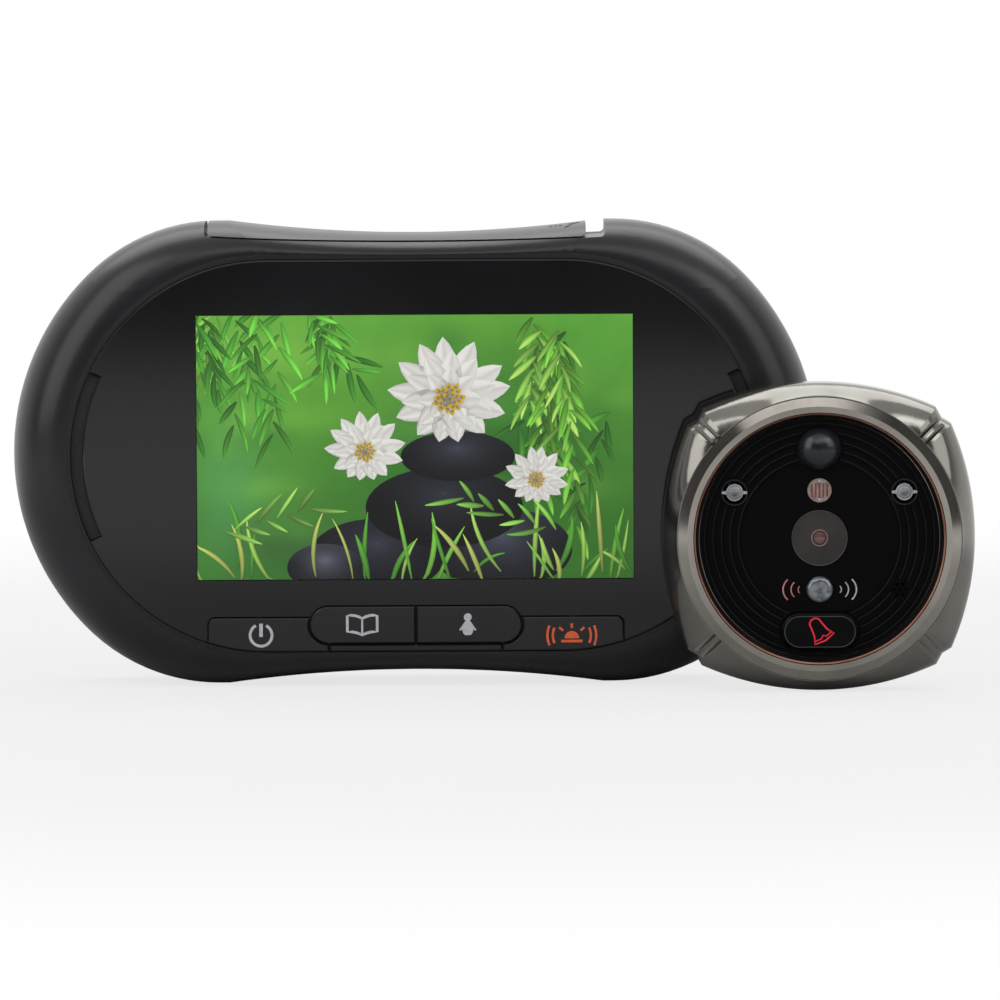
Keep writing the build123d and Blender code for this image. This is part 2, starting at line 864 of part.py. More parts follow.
# Main board with its chips
with BuildPart() as main_board:
    block(indoor_plane(main_board_depth), main_board_width, main_board_height, -board_thickness)
    disc(
        indoor_plane(main_board_depth),
        board_screw_radius + screw_gap,
        -board_thickness,
        four_corners(board_post_x, board_post_z),
        mode=Mode.SUBTRACT,
    )
main_board.part.label = "main_board"
export_step(main_board.part, "parts/main_board.step")

chip_plane = indoor_plane(main_board_depth + board_thickness)
with BuildPart() as board_chips:
    block(chip_plane, processor_side, processor_side, -chip_height, ((-chip_spacing, 0),))
    block(chip_plane, memory_width, memory_height, -chip_height, ((-2 * chip_spacing, 0),))
    block(chip_plane, memory_width, memory_height, -chip_height, ((-chip_spacing, -chip_drop),))
    block(chip_plane, power_chip_side, power_chip_side, -chip_height, ((2 * chip_spacing, 0),))
    block(chip_plane, power_chip_side, power_chip_side, -chip_height, ((2 * chip_spacing, -chip_drop),))
board_chips.part.label = "board_chips"
export_step(board_chips.part, "parts/board_chips.step")


def pan_screws(head_plane, head_radius, head_height, shank_radius, shank_length, places, head_side=-1):
    """Screws with a slotted head on one side of a plane and the shank on the other."""
    disc(head_plane, head_radius, head_side * head_height, places)
    disc(head_plane, shank_radius, -head_side * shank_length, places)
    slot_plane = head_plane.offset(head_side * head_height)
    block(slot_plane, 2 * head_radius, drive_width, -head_side * drive_depth, places, mode=Mode.SUBTRACT)


with BuildPart() as board_screws:
    board_shank = board_screw_length - board_screw_head_height
    pan_screws(
        indoor_plane(main_board_depth + board_thickness),
        board_screw_head,
        board_screw_head_height,
        board_screw_radius,
        board_shank,
        four_corners(board_post_x, board_post_z),
    )
    pan_screws(
        indoor_plane(key_board_depth + key_board_thickness, z=-pill_drop),
        board_screw_head,
        board_screw_head_height,
        board_screw_radius,
        board_shank,
        ((-key_post_x, 0), (key_post_x, 0)),
    )
board_screws.part.label = "board_screws"
export_step(board_screws.part, "parts/board_screws.step")

with BuildPart() as housing_screws:
    pan_screws(
        indoor_plane(casing_depth - screw_head_height - screw_sink),
        screw_head_radius,
        screw_head_height,
        screw_radius,
        screw_length,
        four_corners(screw_x, screw_z),
    )
housing_screws.part.label = "housing_screws"
export_step(housing_screws.part, "parts/housing_screws.step")

# Battery bay, open at the top, with the pack on its contacts
bay_middle = bay_top - bay_height / 2
with BuildPart() as battery_bay:
    block(indoor_plane(bay_depth_start, z=bay_middle), bay_width, bay_height, -bay_depth)
    block(
        indoor_plane(mouth_depth, z=bay_middle + bay_wall),
        bay_width - 2 * bay_wall,
        bay_height,
        -bay_inner_depth,
        mode=Mode.SUBTRACT,
    )
battery_bay.part.label = "battery_bay"
export_step(battery_bay.part, "parts/battery_bay.step")

bay_floor = bay_top - bay_height + bay_wall
with BuildPart() as battery_contacts:
    contact_plane = indoor_plane(bay_depth_start + bay_depth / 2 - contact_length / 2, z=bay_floor)
    block(
        contact_plane,
        contact_width,
        contact_height,
        -contact_length,
        ((-contact_spacing / 2, contact_height / 2), (contact_spacing / 2, contact_height / 2)),
    )
battery_contacts.part.label = "battery_contacts"
export_step(battery_contacts.part, "parts/battery_contacts.step")

with BuildPart() as battery_pack:
    pack_plane = indoor_plane(mouth_depth + pack_gap, z=bay_floor + contact_height + pack_height / 2)
    block(
        pack_plane,
        bay_width - 2 * (bay_wall + pack_side_gap),
        pack_height,
        2 * pack_gap - bay_inner_depth,
    )
    fillet(battery_pack.edges().filter_by(Axis.Z), pack_corner)
battery_pack.part.label = "battery_pack"
export_step(battery_pack.part, "parts/battery_pack.step")


# Meshes in the curved slots, on the ledge
def mesh_sketch(side):
    """Mesh between the panel's end and the rim, a little smaller than the slot."""
    with BuildSketch(indoor_plane(ledge_front - mesh_thickness)) as mesh:
        with BuildLine():
            end_band(
                side,
                end_radius - slot_width + panel_gap,
                end_radius - panel_gap,
                slot_half_height - mesh_end_gap,
            )
        make_face()
    return mesh.sketch


with BuildPart() as speaker_mesh:
    extrude(mesh_sketch(-1), amount=-mesh_thickness)
speaker_mesh.part.label = "speaker_mesh"
export_step(speaker_mesh.part, "parts/speaker_mesh.step")

with BuildPart() as microphone_mesh:
    extrude(mesh_sketch(1), amount=-mesh_thickness)
microphone_mesh.part.label = "microphone_mesh"
export_step(microphone_mesh.part, "parts/microphone_mesh.step")

with BuildPart() as speaker:
    speaker_front = ledge_back + sound_seat
    frame_height = speaker_height * (1 - speaker_magnet_share)
    disc(indoor_plane(speaker_front, x=-speaker_x), speaker_radius, -frame_height)
    disc(indoor_plane(speaker_front, x=-speaker_x), speaker_magnet_radius, -speaker_height)
speaker.part.label = "speaker"
export_step(speaker.part, "parts/speaker.step")

with BuildPart() as microphone:
    disc(indoor_plane(ledge_back + sound_seat, x=microphone_x), microphone_radius, -microphone_height)
microphone.part.label = "microphone"
export_step(microphone.part, "parts/microphone.step")

# Card holder with a memory card, its tail in the slot of the underside
board_back = main_board_depth + board_thickness
cavity_floor = casing_half - crown_wall - casing_sag
card_holder_low = -cavity_floor
with BuildPart() as card_holder:
    holder_plane = indoor_plane(board_back, x=card_x, z=card_holder_low + card_holder_length / 2)
    block(holder_plane, card_holder_width, card_holder_length, -card_holder_thickness)
    pocket_depth = card_thickness + 2 * card_gap
    pocket_start = (card_holder_thickness - pocket_depth) / 2
    block(
        holder_plane.offset(-pocket_start),
        card_width + 2 * card_gap,
        card_holder_length,
        -pocket_depth,
        ((0, -pocket_start),),
        mode=Mode.SUBTRACT,
    )
card_holder.part.label = "card_holder"
export_step(card_holder.part, "parts/card_holder.step")

with BuildPart() as memory_card:
    card_low = card_holder_low - card_tail
    card_depth = board_back + pocket_start + card_gap
    card_plane = indoor_plane(card_depth, x=card_x, z=card_low + card_length / 2)
    block(card_plane, card_width, card_length, -card_thickness)
memory_card.part.label = "memory_card"
export_step(memory_card.part, "parts/memory_card.step")

# Charging socket with its tongue, open downwards
with BuildPart() as charge_socket:
    charge_plane = indoor_plane(board_back, z=-cavity_floor + charge_length / 2)
    block(charge_plane, charge_width, charge_length, -charge_depth)
    block(
        charge_plane.offset(-charge_wall),
        charge_width - 2 * charge_wall,
        charge_length,
        2 * charge_wall - charge_depth,
        ((0, -charge_wall),),
        mode=Mode.SUBTRACT,
    )
    block(
        charge_plane.offset(-(charge_depth - charge_tongue) / 2),
        charge_width - 4 * charge_wall,
        charge_length - charge_wall,
        -charge_tongue,
        ((0, charge_wall / 2),),
    )
charge_socket.part.label = "charge_socket"
export_step(charge_socket.part, "parts/charge_socket.step")

# Socket for the outdoor unit's cable, open towards the back
with BuildPart() as cable_socket:
    link_plane = indoor_plane(board_back, z=-link_drop)
    block(link_plane, link_width, link_height, -link_depth)
    block(
        link_plane.offset(-link_wall),
        link_width - 2 * link_wall,
        link_height - 2 * link_wall,
        link_wall - link_depth,
        mode=Mode.SUBTRACT,
    )
cable_socket.part.label = "cable_socket"
export_step(cable_socket.part, "parts/cable_socket.step")


# Outdoor unit
def axial_plane(x=0, z=0):
    """Level plane through an axis of the outdoor unit: its X is a radius, its Y the reach forwards."""
    return Plane(origin=(outdoor_x + x, door_y, outdoor_z + z), x_dir=(1, 0, 0), z_dir=(0, 0, -1))


def turned(profile, plane, mode=Mode.ADD):
    """A profile on an axial plane, turned about that plane's axis."""
    revolve(profile, axis=Axis(plane.origin, (0, -1, 0)), mode=mode)


def bezel_section(reach, share, round_share=0):
    """Outline of the four petals with notched corners; at round share 1 it is the lip's circle."""
    half_x = share * bezel_width / 2
    half_z = share * bezel_height / 2
    places = (
        (half_x * petal_end_shares[0], half_z * petal_end_shares[1]),
        (half_x * groove_shares[0], half_z * groove_shares[1]),
        (half_x * side_end_shares[0], half_z * side_end_shares[1]),
        (0, half_z),
        (half_x, 0),
    )
    stretches = [1 + round_share * (bezel_lip_radius / math.hypot(x, z) - 1) for x, z in places]
    petal_end, groove, side_end, top, right = [(s * x, s * z) for s, (x, z) in zip(stretches, places)]
    with BuildSketch(outdoor_plane(reach)) as section:
        with BuildLine():
            Polyline(petal_end, groove, side_end)
            mirror(about=Plane.XZ)
            mirror(about=Plane.YZ)
            for side in (-1, 1):
                petal_z = side * petal_end[1]
                side_x = side * side_end[0]
                ThreePointArc((-petal_end[0], petal_z), (0, side * top[1]), (petal_end[0], petal_z))
                ThreePointArc((side_x, -side_end[1]), (side * right[0], 0), (side_x, side_end[1]))
        make_face()
    return section.sketch


def room_sketch(reach, gap=0):
    """Square room behind the face, with round corners."""
    with BuildSketch(outdoor_plane(reach)) as room:
        RectangleRounded(room_side - 2 * gap, room_side - 2 * gap, room_corner - gap)
    return room.sketch


def bell_sketch(reach, gap=0):
    """Pill of the bell button."""
    with BuildSketch(outdoor_plane(reach, z=-bell_drop)) as pill:
        SlotOverall(bell_width + 2 * gap, bell_height + 2 * gap)
    return pill.sketch


room_back = gasket_thickness + back_thickness
face_back = face_front - face_thickness
board_front = outdoor_board_reach + outdoor_board_thickness
screw_corners = four_corners(back_screw_place, back_screw_place)
insert_places = ((-insert_spacing / 2, 0), (insert_spacing / 2, 0))
lamp_places = ((-lamp_x, lamp_rise), (lamp_x, lamp_rise))

# Bezel: a convex ring of four petals with grooves between them
with BuildPart() as bezel:
    bezel_depth = bezel_front - gasket_thickness
    bezel_sections = []
    for section_shares in (bezel_back_shares, bezel_front_shares):
        bezel_sections.append([
            bezel_section(gasket_thickness + reach_share * bezel_depth, share, round_share)
            for reach_share, share, round_share in section_shares
        ])
    loft(bezel_sections[0])
    straight_share = bezel_front_shares[0][0] - bezel_back_shares[-1][0]
    extrude(bezel_sections[0][-1], amount=straight_share * bezel_depth)
    loft(bezel_sections[1])
    extrude(room_sketch(gasket_thickness), amount=room_front - gasket_thickness, mode=Mode.SUBTRACT)
    disc(outdoor_plane(room_front), ledge_radius, face_back - room_front, mode=Mode.SUBTRACT)
    disc(outdoor_plane(face_back), face_radius + face_gap, bezel_front - face_back, mode=Mode.SUBTRACT)
    disc(outdoor_plane(ring_seat), ring_radius + ring_gap, bezel_front - ring_seat, mode=Mode.SUBTRACT)
    groove_turn = math.degrees(
        math.atan2(groove_shares[1] * bezel_height / 2, groove_shares[0] * bezel_width / 2)
    )
    with BuildSketch(outdoor_plane(bezel_front)) as grooves:
        for turn in (groove_turn, -groove_turn):
            Rectangle(2 * bezel_width, rib_width + 2 * groove_width, rotation=turn)
        for turn in (groove_turn, -groove_turn):
            Rectangle(2 * bezel_width, rib_width, rotation=turn, mode=Mode.SUBTRACT)
        Circle(ring_radius + ring_gap, mode=Mode.SUBTRACT)
    extrude(grooves.sketch, amount=-groove_depth, mode=Mode.SUBTRACT)
    disc(outdoor_plane(room_back), back_screw_post, room_front - room_back, screw_corners)
    disc(
        outdoor_plane(room_back),
        back_screw_radius + screw_gap,
        back_screw_length - back_thickness + back_screw_head_height,
        screw_corners,
        mode=Mode.SUBTRACT,
    )
bezel.part.label = "bezel"
export_step(bezel.part, "parts/bezel.step")

# Trim ring with a slope down to the face
with BuildPart() as trim_ring:
    with BuildSketch(axial_plane()) as ring_profile:
        ring_top = bezel_front + ring_proud
        with BuildLine():
            Polyline(
                (ring_radius, ring_seat),
                (ring_radius, bezel_front),
                (ring_opening + ring_flat, ring_top),
                (ring_opening, ring_top),
                (face_radius + face_gap, face_front),
                (face_radius + face_gap, ring_seat),
                close=True,
            )
        make_face()
    turned(ring_profile.sketch, axial_plane())
trim_ring.part.label = "trim_ring"
export_step(trim_ring.part, "parts/trim_ring.step")

# Face plate: round ridges, and a hole for each piece that looks out of it
with BuildPart() as face_plate:
    disc(outdoor_plane(face_back), face_radius, face_thickness)
    with BuildSketch(outdoor_plane(face_front)) as ridges:
        for ridge_radius in ridge_radii:
            Circle(ridge_radius)
            Circle(ridge_radius - ridge_width, mode=Mode.SUBTRACT)
    extrude(ridges.sketch, amount=-ridge_depth, mode=Mode.SUBTRACT)
    through = dict(amount=face_thickness, mode=Mode.SUBTRACT)
    disc(outdoor_plane(face_back, z=dome_rise), dome_radius + seat_gap, **through)
    disc(outdoor_plane(face_back, z=light_rise), light_radius + seat_gap, **through)
    disc(outdoor_plane(face_back), reflector_radius + seat_gap, places=lamp_places, **through)
    disc(outdoor_plane(face_back), window_radius - window_seat, **through)
    window_back = face_front - window_sink - window_thickness
    disc(outdoor_plane(window_back), window_radius + seat_gap, **through)
    disc(outdoor_plane(face_back, z=-cap_drop), cap_radius + seat_gap, **through)
    extrude(bell_sketch(face_back, bell_gap), **through)
    with BuildSketch(outdoor_plane(face_back, x=sound_x, z=-sound_drop)) as sound_pattern:
        Circle(sound_hole_radius)
        with PolarLocations(sound_hole_ring, sound_hole_count):
            Circle(sound_hole_radius)
    extrude(sound_pattern.sketch, **through)
face_plate.part.label = "face_plate"
export_step(face_plate.part, "parts/face_plate.step")

# Motion sensor: a hollow dome with a flange behind the face, and the can below it
with BuildPart() as sensor_dome:
    dome_plane = axial_plane(z=dome_rise)
    with BuildSketch(dome_plane) as dome_profile:
        dome_top = face_front + dome_height
        inner_radius = dome_radius - dome_wall
        flange_low = face_back - dome_flange_thickness
        with BuildLine():
            TangentArc((0, dome_top), (dome_radius, face_front), tangent=(1, 0))
            Polyline(
                (dome_radius, face_front),
                (dome_radius, face_back),
                (dome_radius + dome_flange, face_back),
                (dome_radius + dome_flange, flange_low),
                (inner_radius, flange_low),
                (inner_radius, face_front),
            )
            TangentArc((0, dome_top - dome_wall), (inner_radius, face_front), tangent=(1, 0))
            Line((0, dome_top - dome_wall), (0, dome_top))
        make_face()
    turned(dome_profile.sketch, dome_plane)
sensor_dome.part.label = "sensor_dome"
export_step(sensor_dome.part, "parts/sensor_dome.step")

with BuildPart() as motion_sensor:
    disc(outdoor_plane(board_front, z=dome_rise), sensor_radius, sensor_can_height)
    disc(outdoor_plane(board_front, z=dome_rise), sensor_radius + sensor_rim, sensor_rim_height)
motion_sensor.part.label = "motion_sensor"
export_step(motion_sensor.part, "parts/motion_sensor.step")

# Light sensor: a disc in the face, on two legs from the board
with BuildPart() as light_sensor:
    light_back = face_front - light_thickness
    light_legs = ((-light_leg_offset, 0), (light_leg_offset, 0))
    disc(outdoor_plane(light_back, z=light_rise), light_radius, light_thickness)
    disc(outdoor_plane(board_front, z=light_rise), light_leg_radius, light_back - board_front, light_legs)
light_sensor.part.label = "light_sensor"
export_step(light_sensor.part, "parts/light_sensor.step")

# Night lamps with round heads, and the reflector round each
with BuildPart() as night_lamps:
    disc(outdoor_plane(board_front), lamp_radius, lamp_height, lamp_places)
    lamp_fronts = night_lamps.faces().filter_by(GeomType.PLANE).group_by(Axis.Y)[0]
    fillet(lamp_fronts.edges(), lamp_radius * lamp_round_share)
night_lamps.part.label = "night_lamps"
export_step(night_lamps.part, "parts/night_lamps.step")

with BuildPart() as lamp_reflectors:
    for lamp_side in (-lamp_x, lamp_x):
        reflector_plane = axial_plane(x=lamp_side, z=lamp_rise)
        with BuildSketch(reflector_plane) as reflector_profile:
            with BuildLine():
                Polyline(
                    (lamp_radius + seat_gap, face_front - reflector_thickness),
                    (reflector_radius, face_front - reflector_thickness),
                    (reflector_radius, face_front),
                    (reflector_radius - reflector_wall, face_front),
                    close=True,
                )
            make_face()
        turned(reflector_profile.sketch, reflector_plane)
lamp_reflectors.part.label = "lamp_reflectors"
export_step(lamp_reflectors.part, "parts/lamp_reflectors.step")

# Camera: window in the face, and the board with its barrel and lens
with BuildPart() as camera_window:
    disc(outdoor_plane(window_back), window_radius, window_thickness)
camera_window.part.label = "camera_window"
export_step(camera_window.part, "parts/camera_window.step")

with BuildPart() as camera_board:
    block(outdoor_plane(board_front), camera_board_side, camera_board_side, camera_board_thickness)
camera_board.part.label = "camera_board"
export_step(camera_board.part, "parts/camera_board.step")

barrel_back = board_front + camera_board_thickness
with BuildPart() as camera_barrel:
    disc(outdoor_plane(barrel_back), barrel_radius, barrel_length)
    lens_seat = barrel_length - camera_lens_height
    disc(outdoor_plane(barrel_back + lens_seat), barrel_bore, camera_lens_height, mode=Mode.SUBTRACT)
camera_barrel.part.label = "camera_barrel"
export_step(camera_barrel.part, "parts/camera_barrel.step")

with BuildPart() as camera_lens:
    disc(outdoor_plane(barrel_back + lens_seat), camera_lens_radius, camera_lens_height)
    fillet(camera_lens.faces().sort_by(Axis.Y)[0].edges(), camera_lens_height / 2)
camera_lens.part.label = "camera_lens"
export_step(camera_lens.part, "parts/camera_lens.step")

# Microphone below the window: a domed cap in the face and the capsule on the board
with BuildPart() as microphone_cap:
    disc(outdoor_plane(face_front - cap_thickness, z=-cap_drop), cap_radius, cap_thickness + cap_proud)
    fillet(microphone_cap.faces().sort_by(Axis.Y)[0].edges(), cap_proud)
microphone_cap.part.label = "microphone_cap"
export_step(microphone_cap.part, "parts/microphone_cap.step")

with BuildPart() as outdoor_microphone:
    disc(outdoor_plane(board_front, z=-cap_drop), outdoor_microphone_radius, outdoor_microphone_height)
outdoor_microphone.part.label = "outdoor_microphone"
export_step(outdoor_microphone.part, "parts/outdoor_microphone.step")

# Bell button with its stem, plunger and switch
bell_switch_front = board_front + bell_switch_height
bell_stem_end = bell_switch_front + plunger_show
with BuildPart() as bell_button:
    extrude(bell_sketch(bell_back), amount=face_front + bell_proud - bell_back)
    chamfer(bell_button.faces().sort_by(Axis.Y)[0].edges(), bell_edge)
    disc(outdoor_plane(bell_stem_end, z=-bell_drop), bell_stem_radius, bell_back - bell_stem_end)
bell_button.part.label = "bell_button"
export_step(bell_button.part, "parts/bell_button.step")

with BuildPart() as bell_plunger:
    disc(outdoor_plane(bell_stem_end, z=-bell_drop), plunger_radius, -plunger_show - plunger_depth)
bell_plunger.part.label = "bell_plunger"
export_step(bell_plunger.part, "parts/bell_plunger.step")

with BuildPart() as bell_switch:
    block(outdoor_plane(board_front, z=-bell_drop), switch_side, switch_side, bell_switch_height)
    disc(
        outdoor_plane(bell_switch_front, z=-bell_drop),
        plunger_radius + plunger_gap,
        -plunger_depth - bell_travel - plunger_room,
        mode=Mode.SUBTRACT,
    )
bell_switch.part.label = "bell_switch"
export_step(bell_switch.part, "parts/bell_switch.step")

with BuildPart() as outdoor_speaker:
    speaker_plane = outdoor_plane(face_back - sound_seat, outdoor_speaker_x, -outdoor_speaker_drop)
    disc(speaker_plane, outdoor_speaker_radius, -outdoor_speaker_height)
outdoor_speaker.part.label = "outdoor_speaker"
export_step(outdoor_speaker.part, "parts/outdoor_speaker.step")

with BuildPart() as outdoor_board:
    disc(outdoor_plane(outdoor_board_reach), outdoor_board_radius, outdoor_board_thickness)
outdoor_board.part.label = "outdoor_board"
export_step(outdoor_board.part, "parts/outdoor_board.step")

with BuildPart() as outdoor_socket:
    block(outdoor_plane(outdoor_board_reach), plug_width, plug_height, -plug_depth)
outdoor_socket.part.label = "outdoor_socket"
export_step(outdoor_socket.part, "parts/outdoor_socket.step")

# Back plate: a short spigot that centres the unit in the door's hole, with the cable's way through it
with BuildPart() as outdoor_back:
    extrude(room_sketch(gasket_thickness, back_gap), amount=back_thickness)
    disc(outdoor_plane(gasket_thickness), spigot_radius, -gasket_thickness - spigot_length)
    bore_length = back_thickness + gasket_thickness + spigot_length
    disc(outdoor_plane(room_back), spigot_bore, -bore_length, mode=Mode.SUBTRACT)
    disc(outdoor_plane(room_back), insert_post_radius, insert_post_length - back_thickness, insert_places)
    disc(
        outdoor_plane(gasket_thickness),
        insert_radius + insert_gap,
        insert_post_length,
        insert_places,
        mode=Mode.SUBTRACT,
    )
    disc(
        outdoor_plane(room_back),
        board_stop_radius,
        outdoor_board_reach - room_back,
        four_corners(board_stop_place, board_stop_place),
    )
    disc(
        outdoor_plane(gasket_thickness),
        back_screw_radius + screw_gap,
        back_thickness,
        screw_corners,
        mode=Mode.SUBTRACT,
    )
    disc(
        outdoor_plane(gasket_thickness),
        back_screw_head + screw_gap,
        back_screw_head_height,
        screw_corners,
        mode=Mode.SUBTRACT,
    )
outdoor_back.part.label = "outdoor_back"
export_step(outdoor_back.part, "parts/outdoor_back.step")

with BuildPart() as threaded_inserts:
    disc(outdoor_plane(gasket_thickness), insert_radius, insert_length, insert_places)
    disc(outdoor_plane(gasket_thickness), insert_bore, insert_length, insert_places, mode=Mode.SUBTRACT)
threaded_inserts.part.label = "threaded_inserts"
export_step(threaded_inserts.part, "parts/threaded_inserts.step")

with BuildPart() as back_screws:
    pan_screws(
        outdoor_plane(gasket_thickness + back_screw_head_height),
        back_screw_head,
        back_screw_head_height,
        back_screw_radius,
        back_screw_length - back_screw_head_height,
        screw_corners,
    )
back_screws.part.label = "back_screws"
export_step(back_screws.part, "parts/back_screws.step")

with BuildPart() as foam_gasket:
    extrude(bezel_section(0, gasket_share), amount=gasket_thickness)
    disc(outdoor_plane(0), gasket_opening, gasket_thickness, mode=Mode.SUBTRACT)
foam_gasket.part.label = "foam_gasket"
export_step(foam_gasket.part, "parts/foam_gasket.step")
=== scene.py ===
import bpy
import math
import random
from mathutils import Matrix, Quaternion, Vector
from mathutils.bvhtree import BVHTree


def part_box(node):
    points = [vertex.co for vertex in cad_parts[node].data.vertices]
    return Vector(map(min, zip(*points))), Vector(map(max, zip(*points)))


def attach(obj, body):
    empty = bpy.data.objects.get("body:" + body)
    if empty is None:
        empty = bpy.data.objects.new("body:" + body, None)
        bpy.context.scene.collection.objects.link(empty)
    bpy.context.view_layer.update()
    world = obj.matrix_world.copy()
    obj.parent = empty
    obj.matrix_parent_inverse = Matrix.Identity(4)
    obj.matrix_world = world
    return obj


# Looks of the peephole door camera: materials, screen picture, printed signs, fine detail, light and camera.
# The scene is in metres. Sizes below are in millimetres, and MM turns them into metres.
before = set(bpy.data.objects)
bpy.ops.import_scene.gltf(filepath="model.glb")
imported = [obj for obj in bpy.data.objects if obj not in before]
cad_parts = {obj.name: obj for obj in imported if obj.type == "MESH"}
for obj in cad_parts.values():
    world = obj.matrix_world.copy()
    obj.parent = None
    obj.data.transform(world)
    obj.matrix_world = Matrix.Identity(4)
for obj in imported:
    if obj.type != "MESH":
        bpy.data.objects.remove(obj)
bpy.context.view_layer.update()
MM = 0.001
random.seed(7)

INDOOR = "indoor_unit"
OUTDOOR = "outdoor_unit"
casing_low, casing_high = (Vector(corner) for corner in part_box("front_housing"))
panel_low = Vector(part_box("front_panel")[0])
face_low, face_high = (Vector(corner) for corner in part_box("face_plate"))
screen_low, screen_high = (Vector(corner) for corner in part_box("lcd_panel"))
indoor_middle = (casing_low + casing_high) / 2
face_middle = (face_low + face_high) / 2


def linear(color):
    """A screen colour, 0 to 255, as the linear colour that the shaders take."""
    shares = (channel / 255 for channel in color)
    return tuple(s / 12.92 if s <= 0.04045 else ((s + 0.055) / 1.055) ** 2.4 for s in shares)


def rgba(color):
    return (*linear(color), 1.0)


# Materials
def node_maker(tree):
    """A function that adds a node to a tree, sets it up and links its inputs."""

    def node(kind, inputs=(), **settings):
        made = tree.nodes.new(kind)
        for key, value in settings.items():
            setattr(made, key, value)
        for socket, value in dict(inputs).items():
            if isinstance(value, bpy.types.NodeSocket):
                tree.links.new(value, made.inputs[socket])
            else:
                made.inputs[socket].default_value = value
        return made

    return node


def new_material(name):
    """A node material with its tree and shader, and a function that adds nodes to it."""
    material = bpy.data.materials.new(name)
    material.use_nodes = True
    tree = material.node_tree
    return material, tree, tree.nodes["Principled BSDF"], node_maker(tree)


def set_shader(shader, values):
    for socket, value in values.items():
        shader.inputs[socket].default_value = value


def surface(name, low, high, rough, grain, bump=0.0, bump_grain=0.3, bump_depth=0.01, **values):
    """Moulded or metal surface: two close colours in soft patches, uneven gloss and a fine relief."""
    material, tree, shader, node = new_material(name)
    where = node("ShaderNodeTexCoord").outputs["Object"]
    patches = node("ShaderNodeTexNoise", {"Vector": where, "Scale": 1 / (grain * MM), "Detail": 3.0})
    ramp = node("ShaderNodeValToRGB", {"Fac": patches.outputs["Fac"]})
    ramp.color_ramp.elements[0].position = 0.3
    ramp.color_ramp.elements[0].color = rgba(low)
    ramp.color_ramp.elements[1].position = 0.7
    ramp.color_ramp.elements[1].color = rgba(high)
    tree.links.new(ramp.outputs["Color"], shader.inputs["Base Color"])
    gloss = node(
        "ShaderNodeMapRange", {"Value": patches.outputs["Fac"], "To Min": rough[0], "To Max": rough[1]}
    )
    tree.links.new(gloss.outputs["Result"], shader.inputs["Roughness"])
    if bump:
        relief = node("ShaderNodeTexNoise", {"Vector": where, "Scale": 1 / (bump_grain * MM), "Detail": 2.0})
        height = node(
            "ShaderNodeBump",
            {"Height": relief.outputs["Fac"], "Strength": bump, "Distance": bump_depth * MM},
        )
        tree.links.new(height.outputs["Normal"], shader.inputs["Normal"])
    set_shader(shader, {socket.replace("_", " "): value for socket, value in values.items()})
    return material


def brushed_metal(name, low, high, rough, stretch=(1.0, 1.0, 12.0)):
    """Bright metal with fine lines drawn along one direction."""
    material, tree, shader, node = new_material(name)
    where = node("ShaderNodeTexCoord").outputs["Object"]
    pulled = node("ShaderNodeMapping", {"Vector": where, "Scale": stretch})
    lines = node("ShaderNodeTexNoise", {"Vector": pulled.outputs["Vector"], "Scale": 900.0, "Detail": 2.0})
    ramp = node("ShaderNodeValToRGB", {"Fac": lines.outputs["Fac"]})
    ramp.color_ramp.elements[0].color = rgba(low)
    ramp.color_ramp.elements[1].color = rgba(high)
    tree.links.new(ramp.outputs["Color"], shader.inputs["Base Color"])
    gloss = node(
        "ShaderNodeMapRange", {"Value": lines.outputs["Fac"], "To Min": rough[0], "To Max": rough[1]}
    )
    tree.links.new(gloss.outputs["Result"], shader.inputs["Roughness"])
    set_shader(shader, {"Metallic": 1.0})
    return material


def dotted(name, ground, dot, pitch, rough):
    """Fine mesh or cells: dots on a ground, from a cell pattern."""
    material, tree, shader, node = new_material(name)
    where = node("ShaderNodeTexCoord").outputs["Object"]
    cells = node("ShaderNodeTexVoronoi", {"Vector": where, "Scale": 1 / (pitch * MM), "Randomness": 0.25})
    ramp = node("ShaderNodeValToRGB", {"Fac": cells.outputs["Distance"]})
    ramp.color_ramp.elements[0].position = 0.3
    ramp.color_ramp.elements[0].color = rgba(dot)
    ramp.color_ramp.elements[1].position = 0.45
    ramp.color_ramp.elements[1].color = rgba(ground)
    tree.links.new(ramp.outputs["Color"], shader.inputs["Base Color"])
    height = node(
        "ShaderNodeBump", {"Height": cells.outputs["Distance"], "Strength": 0.6, "Distance": 0.1 * MM}
    )
    tree.links.new(height.outputs["Normal"], shader.inputs["Normal"])
    set_shader(shader, {"Roughness": rough})
    return material


def circuit_board(name):
    """Green solder mask with paler tracks under it."""
    material, tree, shader, node = new_material(name)
    where = node("ShaderNodeTexCoord").outputs["Object"]
    tracks = node(
        "ShaderNodeTexVoronoi",
        {"Vector": where, "Scale": 350.0},
        distance="MANHATTAN",
        feature="DISTANCE_TO_EDGE",
    )
    ramp = node("ShaderNodeValToRGB", {"Fac": tracks.outputs["Distance"]})
    ramp.color_ramp.interpolation = "CONSTANT"
    ramp.color_ramp.elements[0].color = rgba((62, 132, 74))
    ramp.color_ramp.elements[1].position = 0.05
    ramp.color_ramp.elements[1].color = rgba((24, 84, 44))
    tree.links.new(ramp.outputs["Color"], shader.inputs["Base Color"])
    set_shader(shader, {"Roughness": 0.35})
    return material


